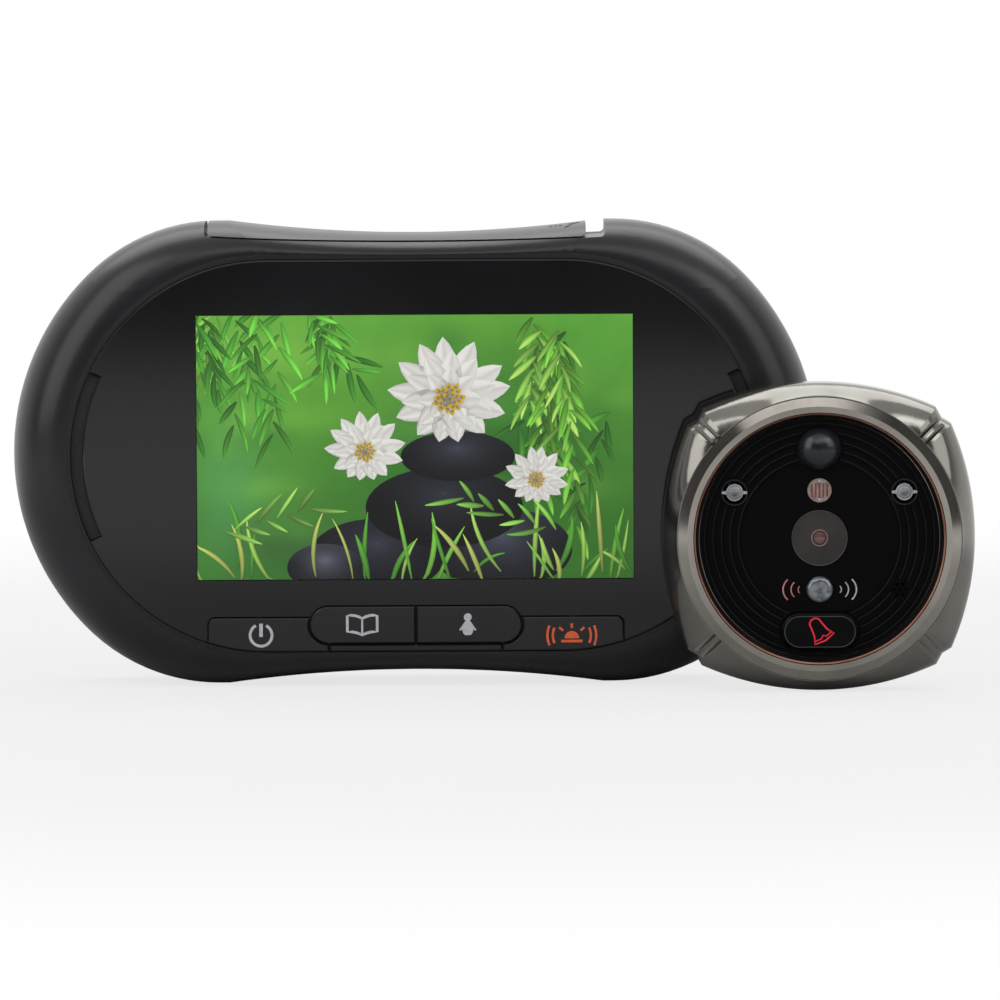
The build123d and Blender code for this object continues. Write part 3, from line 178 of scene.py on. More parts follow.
def painted_picture(name):
    """Lit screen: the colours are kept on the mesh's points."""
    material, tree, shader, node = new_material(name)
    colors = node("ShaderNodeAttribute", attribute_name="Color")
    where = node("ShaderNodeTexCoord").outputs["Object"]
    haze = node("ShaderNodeTexNoise", {"Vector": where, "Scale": 160.0, "Detail": 4.0})
    level = node("ShaderNodeMapRange", {"Value": haze.outputs["Fac"], "To Min": 0.7, "To Max": 0.92})
    mixed = node(
        "ShaderNodeVectorMath",
        {0: colors.outputs["Color"], 1: level.outputs["Result"]},
        operation="MULTIPLY",
    )
    tree.links.new(mixed.outputs["Vector"], shader.inputs["Base Color"])
    tree.links.new(mixed.outputs["Vector"], shader.inputs["Emission Color"])
    set_shader(shader, {"Emission Strength": 0.12, "Roughness": 0.25, "Specular IOR Level": 0.4})
    return material


def clear_glass(name, tint, rough):
    """Clear or smoky moulded lens with faint streaks."""
    material, tree, shader, node = new_material(name)
    where = node("ShaderNodeTexCoord").outputs["Object"]
    streaks = node("ShaderNodeTexNoise", {"Vector": where, "Scale": 500.0, "Detail": 2.0})
    gloss = node(
        "ShaderNodeMapRange", {"Value": streaks.outputs["Fac"], "To Min": rough, "To Max": 3 * rough}
    )
    tree.links.new(gloss.outputs["Result"], shader.inputs["Roughness"])
    set_shader(shader, {"Base Color": rgba(tint), "Transmission Weight": 0.6, "IOR": 1.5})
    return material


casing_gloss = surface(
    "casing_gloss", (22, 22, 24), (31, 31, 34), (0.26, 0.36), 30.0, 0.05, 1.6, 0.02,
    Coat_Weight=0.12, Coat_Roughness=0.16, Specular_IOR_Level=0.3,
)
band_black = surface("rear_plastic", (26, 26, 28), (38, 38, 40), (0.42, 0.58), 12.0, 0.35, 0.35, 0.03)
panel_gloss = surface("panel_gloss", (10, 10, 12), (19, 20, 22), (0.05, 0.12), 45.0, Specular_IOR_Level=0.42)
cover_gloss = surface(
    "cover_gloss", (40, 40, 41), (53, 53, 54), (0.3, 0.4), 25.0, 0.05, 1.2, 0.02,
    Coat_Weight=0.15, Coat_Roughness=0.3, Specular_IOR_Level=0.4,
)
key_gloss = surface("key_gloss", (14, 14, 16), (23, 23, 26), (0.16, 0.24), 16.0, 0.06, 0.8, 0.01)
plain_plastic = surface("plunger_plastic", (88, 88, 90), (108, 108, 110), (0.4, 0.5), 3.0, 0.2, 0.2)
chip_black = surface("chip_black", (38, 38, 40), (52, 52, 54), (0.45, 0.6), 2.0, 0.3, 0.15)
backlight_white = surface("backlight_white", (228, 230, 230), (240, 240, 240), (0.5, 0.6), 10.0)
flex_amber = surface("flex_amber", (176, 116, 40), (196, 134, 52), (0.3, 0.4), 2.0)
battery_wrap = surface("battery_wrap", (58, 102, 160), (70, 116, 176), (0.25, 0.4), 8.0, 0.2, 2.0, 0.05)
socket_white = surface("socket_white", (222, 218, 206), (234, 230, 220), (0.4, 0.5), 2.0)
bezel_metal = surface(
    "bezel_metal", (112, 110, 105), (136, 133, 127), (0.11, 0.18), 14.0, 0.03, 2.0, 0.02, Metallic=0.93
)
ring_metal = surface(
    "ring_metal", (142, 137, 130), (166, 161, 154), (0.1, 0.18), 9.0, 0.03, 1.5, 0.02, Metallic=1.0
)
# Copper tone of the ring's edge, made pale and only half metal: a painted highlight.
copper_painted_highlight = surface("copper_painted_highlight", (176, 116, 96), (232, 170, 148), (0.25, 0.4), 9.0, Metallic=0.5)
lining_dark = surface("lining_dark", (10, 9, 9), (22, 18, 17), (0.25, 0.4), 5.0)
face_gloss = surface("face_gloss", (3, 3, 4), (6, 6, 7), (0.2, 0.3), 14.0, Specular_IOR_Level=0.06)
ridge_gloss = surface("ridge_gloss", (7, 7, 8), (13, 13, 14), (0.3, 0.42), 9.0, Specular_IOR_Level=0.25)
dome_plastic = surface("dome_plastic", (17, 20, 24), (27, 31, 36), (0.2, 0.3), 3.0, 0.1, 0.9, 0.02)
cap_plastic = surface(
    "cap_plastic", (88, 93, 99), (150, 155, 160), (0.14, 0.26), 1.1, 0.4, 0.7, 0.08, Metallic=0.6
)
light_cell = surface("light_cell", (112, 97, 92), (146, 130, 124), (0.3, 0.45), 0.8, 0.2, 0.3)
lamp_clear = clear_glass("lamp_clear", (196, 200, 206), 0.04)
dark_metal = surface("dark_metal", (34, 36, 39), (52, 55, 59), (0.16, 0.3), 0.9, 0.2, 0.5, Metallic=1.0)
window_dark = surface("window_dark", (46, 43, 43), (58, 54, 53), (0.26, 0.34), 7.0, Specular_IOR_Level=0.2)
window_rim = surface("window_rim", (56, 52, 51), (70, 66, 65), (0.3, 0.4), 4.0)
lens_glass = surface("lens_glass", (78, 48, 46), (104, 70, 66), (0.08, 0.14), 0.9, Coat_Weight=0.5)
lens_trim = surface("lens_trim", (116, 92, 86), (140, 116, 110), (0.3, 0.4), 1.0, Metallic=0.2)
die_grey = surface("die_grey", (92, 95, 96), (124, 127, 128), (0.25, 0.4), 0.7, Metallic=0.4)
bell_gloss = surface("bell_gloss", (5, 6, 6), (9, 10, 11), (0.2, 0.3), 6.0, Specular_IOR_Level=0.08)
# Grey-blue of the painted highlight along the bell button's rim.
painted_rim_highlight = surface("painted_rim_highlight", (40, 46, 50), (58, 64, 68), (0.25, 0.35), 3.0)
gasket_foam = dotted("gasket_foam", (44, 44, 45), (26, 26, 27), 0.5, 0.9)
mesh_black = dotted("mesh_black", (26, 26, 27), (4, 4, 4), 0.45, 0.5)
bright_metal = brushed_metal("bright_metal", (168, 168, 170), (206, 206, 208), (0.2, 0.32))
screw_steel = brushed_metal("screw_steel", (120, 120, 124), (160, 160, 164), (0.25, 0.4))
contact_brass = brushed_metal("contact_brass", (186, 148, 84), (216, 182, 116), (0.2, 0.35))
board_green = circuit_board("board_green")
sign_grey = surface("sign_grey", (166, 166, 172), (190, 190, 196), (0.35, 0.5), 1.0)
sign_orange = surface("sign_orange", (208, 80, 42), (228, 100, 58), (0.35, 0.5), 1.0)
sign_red = surface("sign_red", (214, 18, 42), (240, 38, 66), (0.3, 0.45), 1.0)
sign_rose = surface("sign_rose", (158, 84, 84), (194, 128, 124), (0.35, 0.5), 3.0)
sign_pale = surface("sign_pale", (150, 146, 144), (190, 186, 184), (0.35, 0.5), 3.0)
track_red = surface("track_red", (104, 30, 28), (130, 48, 42), (0.35, 0.5), 1.0)
mark_black = surface("mark_black", (6, 6, 6), (12, 12, 12), (0.5, 0.6), 1.0)
picture_lit = painted_picture("screen_picture")

NODE_MATERIALS = {
    casing_gloss: ("front_housing",),
    band_black: ("rear_cover", "battery_bay", "outdoor_back"),
    panel_gloss: ("front_panel", "lcd_panel"),
    cover_gloss: ("battery_cover",),
    key_gloss: ("power_button", "album_button", "visitor_button", "alarm_button", "key_strip"),
    plain_plastic: ("power_plunger", "album_plunger", "visitor_plunger", "alarm_plunger", "bell_plunger"),
    chip_black: ("board_chips", "speaker", "memory_card", "camera_barrel", "outdoor_speaker"),
    backlight_white: ("lcd_backlight",),
    flex_amber: ("display_flex",),
    battery_wrap: ("battery_pack",),
    socket_white: ("cable_socket", "outdoor_socket"),
    bezel_metal: ("bezel",),
    ring_metal: ("trim_ring",),
    face_gloss: ("face_plate",),
    dome_plastic: ("sensor_dome",),
    cap_plastic: ("microphone_cap",),
    light_cell: ("light_sensor",),
    lamp_clear: ("night_lamps",),
    window_dark: ("camera_window",),
    lens_glass: ("camera_lens",),
    bell_gloss: ("bell_button",),
    gasket_foam: ("foam_gasket",),
    mesh_black: ("speaker_mesh", "microphone_mesh"),
    bright_metal: (
        "lcd_tray", "key_switches", "microphone", "card_holder", "charge_socket", "motion_sensor",
        "outdoor_microphone", "bell_switch",
    ),
    dark_metal: ("lamp_reflectors",),
    screw_steel: ("board_screws", "housing_screws", "back_screws"),
    contact_brass: ("battery_contacts", "threaded_inserts"),
    board_green: ("key_board", "main_board", "camera_board", "outdoor_board"),
}
for finish, node_names in NODE_MATERIALS.items():
    for node_name in node_names:
        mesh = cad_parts[node_name].data
        mesh.materials.clear()
        mesh.materials.append(finish)


# Places on the two units, in millimetres from their middles
def on_panel(x, z, lift=0.0):
    """A place in front of the indoor unit's panel."""
    return Vector((indoor_middle.x + x * MM, panel_low.y - lift * MM, indoor_middle.z + z * MM))


def on_face(x, z, lift=0.0):
    """A place in front of the outdoor unit's face."""
    return Vector((face_middle.x + x * MM, face_low.y - lift * MM, face_middle.z + z * MM))


def new_piece(name, points, faces, material, body, smooth=False):
    """A mesh piece that rides on a body."""
    mesh = bpy.data.meshes.new(name)
    mesh.from_pydata([tuple(point) for point in points], [], faces)
    mesh.materials.append(material)
    if smooth:
        mesh.shade_smooth()
    piece = bpy.data.objects.new(name, mesh)
    bpy.context.scene.collection.objects.link(piece)
    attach(piece, body)
    return piece


# Signs, printed as thin raised shapes
SIGN_THICKNESS = 0.03


def stroke(line, width, closed=False):
    """A ribbon along a line: its points, two for each of the line's, and its faces."""
    points = []
    count = len(line)
    for number, (x, z) in enumerate(line):
        before = line[number - 1] if number or closed else line[number]
        after = line[(number + 1) % count] if number < count - 1 or closed else line[number]
        along = Vector((after[0] - before[0], after[1] - before[1])).normalized()
        across = Vector((-along.y, along.x)) * width / 2
        points += [(x + across.x, z + across.y), (x - across.x, z - across.y)]
    rows = count if closed else count - 1
    faces = []
    for row in range(rows):
        a, b = 2 * row, 2 * ((row + 1) % count)
        faces.append((a, a + 1, b + 1, b))
    return points, faces


def polygon(outline):
    """A filled shape."""
    return list(outline), [tuple(range(len(outline)))]


def arc(middle, radius, start, end, count=28):
    """Points along an arc; angles in degrees, anticlockwise from the right."""
    turns = (math.radians(start + (end - start) * step / (count - 1)) for step in range(count))
    return [(middle[0] + radius * math.cos(turn), middle[1] + radius * math.sin(turn)) for turn in turns]


def sign(name, shapes, place, lift, material, body):
    """One printed sign, from ribbons and filled shapes."""
    points, faces = [], []
    for shape_points, shape_faces in shapes:
        first = len(points)
        points += [place(x, z, lift + SIGN_THICKNESS) for x, z in shape_points]
        faces += [tuple(first + corner for corner in face) for face in shape_faces]
    piece = new_piece(name, points, faces, material, body)
    depth = piece.modifiers.new("Depth", "SOLIDIFY")
    depth.thickness = SIGN_THICKNESS * MM
    depth.offset = 0.0
    return piece


KEY_LIFT = 0.15
POWER_PLACE = (-28.55, -33.0)
POWER_LINE = 0.52
BAR_LINE = 0.66
BAR_FOOT = -0.3
BAR_TOP = 2.15
POWER_RADIUS = 2.02
ring_points = arc(POWER_PLACE, POWER_RADIUS, 118, 422)
power_bar = [(POWER_PLACE[0], POWER_PLACE[1] + z) for z in (BAR_FOOT, BAR_TOP)]
sign(
    "power_sign", [stroke(ring_points, POWER_LINE), stroke(power_bar, BAR_LINE)],
    on_panel, KEY_LIFT, sign_grey, "power_key",
)

# Open book: its pages sink towards the spine
BOOK_PLACE = (-9.9, -31.0)
BOOK_LINE = 0.5
SPINE_LINE = 0.36
SPINE_TOP = 1.02
SPINE_FOOT = -2.02
book_top = [(-2.75, 1.5), (-2.1, 1.62), (-1.4, 1.56), (-0.7, 1.36), (0.0, SPINE_TOP)]
book_low = [(0.0, SPINE_FOOT), (-0.9, -1.66), (-1.8, -1.46), (-2.75, -1.42)]
book_right = [(-x, z) for x, z in book_top[-2::-1] + book_low[:0:-1]]
book_outline = [(BOOK_PLACE[0] + x, BOOK_PLACE[1] + z) for x, z in book_top + book_right + book_low]
spine_ends = (SPINE_TOP - BOOK_LINE / 2, SPINE_FOOT + BOOK_LINE / 2)
book_spine = [(BOOK_PLACE[0], BOOK_PLACE[1] + z) for z in spine_ends]
sign(
    "album_sign", [stroke(book_outline, BOOK_LINE, closed=True), stroke(book_spine, SPINE_LINE)],
    on_panel, KEY_LIFT, sign_grey, "album_key",
)

PERSON_PLACE = (9.55, -31.1)
HEAD_RISE = 1.25
HEAD_RADIUS = 0.72
person_side = [
    (0.45, 0.55), (0.8, 0.1), (1.15, -0.45), (1.6, -1.1), (1.32, -1.24), (1.04, -0.92), (0.96, -1.4),
    (0.74, -1.88), (0.4, -2.05),
]
person_body = person_side + [(-x, z) for x, z in person_side[::-1]]
sign(
    "visitor_sign",
    [
        polygon(arc((PERSON_PLACE[0], PERSON_PLACE[1] + HEAD_RISE), HEAD_RADIUS, 0, 347, 24)),
        polygon([(PERSON_PLACE[0] + x, PERSON_PLACE[1] + z) for x, z in person_body]),
    ],
    on_panel, KEY_LIFT, sign_grey, "visitor_key",
)

# Alarm sign: a dome lamp on its base, with rays above it and sound waves at both sides
ALARM_PLACE = (28.7, -34.2)
ALARM_LINE = 0.42
BASE_LINE = 0.5
BASE_REACH = 1.95
BASE_DROP = 0.15
DOME_RISE = 0.35
DOME_RADIUS = 1.35
RAY_ENDS = (1.9, 2.75)
RAY_SPREAD = 1.25
RAY_TURNS = (48, 90, 132)
WAVE_RISE = 0.9
WAVE_RADII = (3.5, 4.5)
WAVE_TURNS = ((204, 156), (-24, 24))
alarm_base = [(ALARM_PLACE[0] + side * BASE_REACH, ALARM_PLACE[1] - BASE_DROP) for side in (-1, 1)]
alarm_shapes = [
    polygon(arc((ALARM_PLACE[0], ALARM_PLACE[1] + DOME_RISE), DOME_RADIUS, 0, 180, 20)),
    stroke(alarm_base, BASE_LINE),
]
for ray_turn in RAY_TURNS:
    turn = math.radians(ray_turn)
    ray = [
        (
            ALARM_PLACE[0] + far * RAY_SPREAD * math.cos(turn),
            ALARM_PLACE[1] + DOME_RISE + far * math.sin(turn),
        )
        for far in RAY_ENDS
    ]
    alarm_shapes.append(stroke(ray, ALARM_LINE))
for start, end in WAVE_TURNS:
    for radius in WAVE_RADII:
        wave = arc((ALARM_PLACE[0], ALARM_PLACE[1] + WAVE_RISE), radius, start, end, 10)
        alarm_shapes.append(stroke(wave, ALARM_LINE))
sign("alarm_sign", alarm_shapes, on_panel, KEY_LIFT, sign_orange, "alarm_key")

# Mark on the cover: three dots and an arrow that points the way it slides
cover_low, cover_high = (Vector(corner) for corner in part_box("battery_cover"))
cover_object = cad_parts["battery_cover"]
cover_mesh = cover_object.data
cover_tree = BVHTree.FromPolygons(
    [cover_object.matrix_world @ vertex.co for vertex in cover_mesh.vertices],
    [tuple(face.vertices) for face in cover_mesh.polygons],
)
cover_middle_y = (cover_low.y + cover_high.y) / 2 / MM


def on_cover(x, y, lift=0.0):
    """A place on top of the cover: x is counted from its right end, y from its middle."""
    above = Vector((cover_high.x + x * MM, (cover_middle_y + y) * MM, cover_high.z + 0.02))
    place = cover_tree.ray_cast(above, Vector((0, 0, -1)))[0]
    return place + Vector((0, 0, lift * MM))


DOTS = ((-6.4, -3.4), (-5.5, -3.4), (-4.6, -3.4))
DOT_RADIUS = 0.34
ARROW_SHAFT = [(-3.7, -6.6), (-3.0, -4.6), (-2.3, -2.6), (-1.6, -0.6)]
ARROW_HEAD = [(-3.0, -1.4), (-1.6, -0.6), (-1.3, -2.2)]
SHAFT_LINE = 0.55
HEAD_LINE = 0.5
mark_shapes = [polygon(arc(dot, DOT_RADIUS, 0, 342, 16)) for dot in DOTS]
mark_shapes += [stroke(ARROW_SHAFT, SHAFT_LINE), stroke(ARROW_HEAD, HEAD_LINE)]
sign("cover_mark", mark_shapes, on_cover, 0.02, mark_black, "cover")

# Bell on the outdoor button
BELL_PLACE = (-1.35, -14.75)
BELL_TILT = math.radians(31)
BELL_LIFT = 1.1
BELL_LINE = 0.3
FOLD_LINE = 0.22
bell_outline = [
    (-0.35, 0), (0.35, 0), (0.95, -0.45), (1.12, -1.6), (1.35, -2.9), (2.0, -4.2), (0, -4.55), (-2.0, -4.2),
    (-1.35, -2.9), (-1.12, -1.6), (-0.95, -0.45),
]
bell_fold = [(-1.7, -3.75), (-0.5, -3.9), (0.1, -3.5), (0.5, -3.92), (1.7, -3.75)]


def tilted(points):
    """Points of the bell, turned about its crown and moved to its place."""
    return [
        (
            BELL_PLACE[0] + x * math.cos(BELL_TILT) - z * math.sin(BELL_TILT),
            BELL_PLACE[1] + x * math.sin(BELL_TILT) + z * math.cos(BELL_TILT),
        )
        for x, z in points
    ]


sign(
    "bell_sign", [stroke(tilted(bell_outline), BELL_LINE, closed=True), stroke(tilted(bell_fold), FOLD_LINE)],
    on_face, BELL_LIFT, sign_red, "bell_key",
)

bell_low, bell_high = (Vector(corner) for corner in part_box("bell_button"))
bell_z = ((bell_low.z + bell_high.z) / 2 - face_middle.z) / MM
bell_half_width = (bell_high.x - bell_low.x) / 2 / MM
bell_half_height = (bell_high.z - bell_low.z) / 2 / MM
# A thin grey-blue line round the bell button's front edge is a painted highlight of its rim.
BELL_HIGHLIGHT_INSET = 0.6
BELL_HIGHLIGHT_WIDTH = 0.16
end_x = bell_half_width - bell_half_height
end_radius = bell_half_height - BELL_HIGHLIGHT_INSET
bell_rim_highlight = arc((end_x, bell_z), end_radius, -90, 90, 20) + arc((-end_x, bell_z), end_radius, 90, 270, 20)
sign(
    "bell_rim_highlight", [stroke(bell_rim_highlight, BELL_HIGHLIGHT_WIDTH, closed=True)],
    on_face, BELL_LIFT, painted_rim_highlight, "bell_key",
)

# Sound arcs at both sides of the microphone
cap_low, cap_high = (Vector(corner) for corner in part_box("microphone_cap"))
cap_z = ((cap_low.z + cap_high.z) / 2 - face_middle.z) / MM
# How far each arc reaches from the cap's middle, its radius, half its angle and the width of its line
SOUND_ARCS = ((3.95, 0.85, 46, 0.18), (5.25, 1.8, 48, 0.22), (6.7, 2.45, 49, 0.26))
for side, towards, sound_finish, label in ((1, 0, sign_pale, "right"), (-1, 180, sign_rose, "left")):
    sound_shapes = []
    for reach, radius, half_angle, line in SOUND_ARCS:
        edge = arc((side * (reach - radius), cap_z), radius, towards - half_angle, towards + half_angle, 16)
        sound_shapes.append(stroke(edge, line))
    sign(f"sound_sign_{label}", sound_shapes, on_face, 0.0, sound_finish, OUTDOOR)

# Track of the light sensor, with a pad at its top and bottom
light_low, light_high = (Vector(corner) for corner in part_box("light_sensor"))
light_x = ((light_low.x + light_high.x) / 2 - face_middle.x) / MM
light_z = ((light_low.z + light_high.z) / 2 - face_middle.z) / MM
TRACK_LEGS = 5
TRACK_PITCH = 0.7
TRACK_REACH = 1.32
TRACK_TAPER = 0.08
TRACK_LINE = 0.27
PAD_RISE = 1.68
PAD_RADIUS = 0.28
track = []
for leg in range(TRACK_LEGS):
    from_middle = leg - (TRACK_LEGS - 1) / 2
    leg_x = light_x + TRACK_PITCH * from_middle
    reach = TRACK_REACH - TRACK_TAPER * abs(from_middle)
    ends = (light_z - reach, light_z + reach)
    track += [(leg_x, end) for end in (ends if leg % 2 else ends[::-1])]
sign("light_track", [stroke(track, TRACK_LINE)], on_face, 0.0, track_red, OUTDOOR)
pads = [polygon(arc((light_x, light_z + side * PAD_RISE), PAD_RADIUS, 0, 345, 18)) for side in (-1, 1)]
sign("light_pads", pads, on_face, 0.0, bright_metal, OUTDOOR)


# Turned pieces on the face
def turned_piece(name, profile, centre, material, count=72):
    """A profile of radius and lift, turned about an axis that points forwards out of the face."""
    points, faces = [], []
    rows = len(profile)
    for step in range(count):
        turn = 2 * math.pi * step / count
        for radius, lift in profile:
            place = (centre[0] + radius * math.cos(turn), centre[1] + radius * math.sin(turn))
            points.append(on_face(*place, lift))
    for step in range(count):
        a, b = step * rows, (step + 1) % count * rows
        for row in range(rows - 1):
            faces.append((a + row, b + row, b + row + 1, a + row + 1))
    return new_piece(name, points, faces, material, OUTDOOR, smooth=True)


def bead(radius, half_width, height, base=0.0, count=12):
    """Profile of a round bead that lies on the face."""
    turns = [math.pi * step / (count - 1) for step in range(count)]
    return [(radius + half_width * math.cos(turn), base + height * math.sin(turn)) for turn in turns]


# Camera lens, its rim and the window's edge
WINDOW_LIFT = -0.2
LENS_RADIUS = 1.02
LENS_RISE = 0.16
lens_rim = bead(radius=1.45, half_width=0.12, height=0.12, base=WINDOW_LIFT)
window_edge = bead(radius=5.03, half_width=0.1, height=0.12, base=WINDOW_LIFT)
turned_piece("lens_rim", lens_rim, (0, 0), lens_trim)
lens_turns = [math.radians(turn) for turn in range(0, 90, 8)]
lens_profile = [
    (LENS_RADIUS * math.cos(turn), WINDOW_LIFT + LENS_RISE * math.sin(turn)) for turn in lens_turns
]
lens_profile.append((0.001, WINDOW_LIFT + LENS_RISE))
turned_piece("lens_front", lens_profile, (0, 0), lens_glass)
turned_piece("window_edge", window_edge, (0, 0), window_rim)

# Night lamps: a rim, two tabs and a light chip in each
lamp_low, lamp_high = (Vector(corner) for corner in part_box("night_lamps"))
lamp_z = ((lamp_low.z + lamp_high.z) / 2 - face_middle.z) / MM
LAMP_RADIUS = 1.65
TAB_CORNERS = ((1.5, -0.34), (2.3, -0.2), (2.3, 0.2), (1.5, 0.34))
lamp_rim = bead(radius=1.42, half_width=0.2, height=0.32)
lamp_die = [(0.72, 0.5), (0.66, 0.62), (0.4, 0.6), (0.36, 0.7), (0.001, 0.7)]
for side, label in ((-1, "left"), (1, "right")):
    edge = lamp_high.x if side > 0 else lamp_low.x
    lamp_x = (edge - face_middle.x) / MM - side * LAMP_RADIUS
    turned_piece(f"lamp_rim_{label}", lamp_rim, (lamp_x, lamp_z), bright_metal)
    tabs = [polygon([(lamp_x + tab * x, lamp_z + z) for x, z in TAB_CORNERS]) for tab in (-1, 1)]
    sign(f"lamp_tabs_{label}", tabs, on_face, 0.04, bright_metal, OUTDOOR)
    turned_piece(f"lamp_die_{label}", lamp_die, (lamp_x, lamp_z), die_grey)

# Ridges of the face: fine raised lines that stop at whatever sits in the face
dome_low, dome_high = (Vector(corner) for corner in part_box("sensor_dome"))
dome_z = ((dome_low.z + dome_high.z) / 2 - face_middle.z) / MM
lamp_reach_x = (lamp_high.x - face_middle.x) / MM - LAMP_RADIUS
RIDGE_RADII = (20.9, 19.35, 17.8, 16.25, 14.7)
RIDGE_OFFSET = 0.14
RIDGE_HALF_WIDTH = 0.1
RIDGE_HEIGHT = 0.1
RIDGE_STEPS = 288
BELL_CLEARANCE = 0.4
DOME_STOP = 4.3
LAMP_STOP = 2.75
SPEAKER_STOP = (14.6, -9.4, 1.7)
ridge_stops = [
    (0.0, dome_z, DOME_STOP),
    (-lamp_reach_x, lamp_z, LAMP_STOP),
    (lamp_reach_x, lamp_z, LAMP_STOP),
    SPEAKER_STOP,
]


def on_open_face(x, z):
    """Whether a place on the face is clear of the pieces in it."""
    if any(math.hypot(x - stop_x, z - stop_z) < reach for stop_x, stop_z, reach in ridge_stops):
        return False
    beside = max(abs(x) - (bell_half_width - bell_half_height), 0.0)
    return math.hypot(beside, z - bell_z) > bell_half_height + BELL_CLEARANCE


ridge_points, ridge_faces = [], []
for radius in RIDGE_RADII:
    line = bead(radius + RIDGE_OFFSET, RIDGE_HALF_WIDTH, RIDGE_HEIGHT, 0.0, 7)
    before = None
    for step in range(RIDGE_STEPS + 1):
        turn = 2 * math.pi * step / RIDGE_STEPS
        if not on_open_face(radius * math.cos(turn), radius * math.sin(turn)):
            before = None
            continue
        here = len(ridge_points)
        ridge_points += [on_face(far * math.cos(turn), far * math.sin(turn), lift) for far, lift in line]
        if before is not None:
            for row in range(len(line) - 1):
                ridge_faces.append((before + row, here + row, here + row + 1, before + row + 1))
        before = here
new_piece("face_ridges", ridge_points, ridge_faces, ridge_gloss, OUTDOOR, smooth=True)

# The ring's inner slope: dark, with a copper-toned edge whose pale colour all round is a painted highlight
FACE_EDGE = 22.05
RING_OPENING = 23.1
slope = [(FACE_EDGE + 0.02, 0.12), (FACE_EDGE + 0.32, 0.8), (RING_OPENING - 0.42, 1.55)]
sheen = [slope[-1], (RING_OPENING - 0.16, 2.05)]
turned_piece("ring_lining", slope, (0, 0), lining_dark, 144)
turned_piece("ring_painted_highlight", sheen, (0, 0), copper_painted_highlight, 144)


# Screen picture: leaves, white flowers and dark stones in front of a soft green ground, each new strip
# a layer in front of the one before, in millimetres from the screen's lower left corner
PICTURE_WIDTH = (screen_high.x - screen_low.x) / MM
PICTURE_HEIGHT = (screen_high.z - screen_low.z) / MM
PICTURE_LAYER = 0.00016
GROUND_COLUMNS = 64
GROUND_ROWS = 40
picture = {"points": [], "faces": [], "colors": [], "lift": 0.004}


def picture_rows(rows, colors):
    """A strip of picture: rows of points, each with as many as the next, and their colours."""
    picture["lift"] += PICTURE_LAYER
    first = len(picture["points"])
    wide = len(rows[0])
    for row, row_colors in zip(rows, colors):
        for (x, z), color in zip(row, row_colors):
            inside_x = min(max(x, 0), PICTURE_WIDTH)
            inside_z = min(max(z, 0), PICTURE_HEIGHT)
            picture["points"].append((
                screen_low.x + inside_x * MM,
                screen_low.y - picture["lift"] * MM,
                screen_low.z + inside_z * MM,
            ))
            picture["colors"].append(rgba(color))
    for row in range(len(rows) - 1):
        for column in range(wide - 1):
            a = first + row * wide + column
            picture["faces"].append((a, a + 1, a + 1 + wide, a + wide))


def shade(color, factor):
    return tuple(min(255, max(0, channel * factor)) for channel in color)


def between(first, second, share):
    return tuple(a + (b - a) * share for a, b in zip(first, second))


def ground_color(x, z):
    """Soft-focus greens: lighter bands above, bluish to the left, deep below."""
    color = between((64, 128, 44), (112, 186, 66), z / PICTURE_HEIGHT)
    for middle_x, middle_z, size_x, size_z, blob, weight in ground_blobs:
        away = ((x - middle_x) / size_x) ** 2 + ((z - middle_z) / size_z) ** 2
        color = between(color, blob, weight * math.exp(-away))
    return color


# Blurred patches of the ground: middle, half sizes, colour and weight
ground_blobs = [
    (12, 42, 22, 4, (142, 208, 84), 0.6), (20, 30, 16, 3, (128, 200, 70), 0.5),
    (6, 16, 7, 14, (96, 178, 110), 0.6), (60, 24, 16, 18, (34, 96, 34), 0.7),
    (74, 44, 12, 8, (90, 170, 60), 0.6), (40, 20, 14, 10, (46, 112, 40), 0.6),
    (34, 45, 10, 5, (86, 160, 58), 0.5), (70, 6, 14, 8, (58, 132, 40), 0.5),
    (16, 6, 10, 5, (60, 96, 58), 0.5),
]
for _ in range(26):
    ground_blobs.append((
        random.uniform(0, 80), random.uniform(0, 49), random.uniform(2, 7), random.uniform(1, 5),
        random.choice([(150, 214, 92), (52, 120, 44), (112, 188, 78), (40, 98, 50)]),
        random.uniform(0.15, 0.45),
    ))
grid_x = [PICTURE_WIDTH * step / GROUND_COLUMNS for step in range(GROUND_COLUMNS + 1)]
grid_z = [PICTURE_HEIGHT * step / GROUND_ROWS for step in range(GROUND_ROWS + 1)]
picture_rows(
    [[(x, z) for x in grid_x] for z in grid_z], [[ground_color(x, z) for x in grid_x] for z in grid_z]
)


def leaf(x, z, heading, length, width, bend, color):
    """A slender leaf with a pale middle rib; it bends as it runs on."""
    rows, colors = [], []
    steps = 9
    for step in range(steps + 1):
        share = step / steps
        half = width / 2 * math.sin(math.pi * min(share * 0.93 + 0.05, 1)) ** 0.8 + 0.02
        turn = math.radians(heading + bend * share)
        across = (-math.sin(turn), math.cos(turn))
        rows.append([(x + side * across[0] * half, z + side * across[1] * half) for side in (1, 0, -1)])
        lit = 0.72 + 0.4 * share
        colors.append([shade(color, lit), shade(color, lit * 1.22), shade(color, lit * 0.8)])
        x += math.cos(turn) * length / steps
        z += math.sin(turn) * length / steps
    picture_rows(rows, colors)


def spray(x, z, heading, length, leaves, color, size=1.0):
    """Leaves to both sides of an unseen stem."""
    step = length / leaves
    for number in range(leaves):
        side = 1 if number % 2 else -1
        swing = random.uniform(18, 52)
        leaf(
            x, z, heading + side * swing, size * random.uniform(4.6, 8.2), size * random.uniform(0.7, 1.25),
            -side * random.uniform(0, 26), shade(color, random.uniform(0.7, 1.25)),
        )
        x += math.cos(math.radians(heading)) * step
        z += math.sin(math.radians(heading)) * step
        heading += random.uniform(-7, 7)


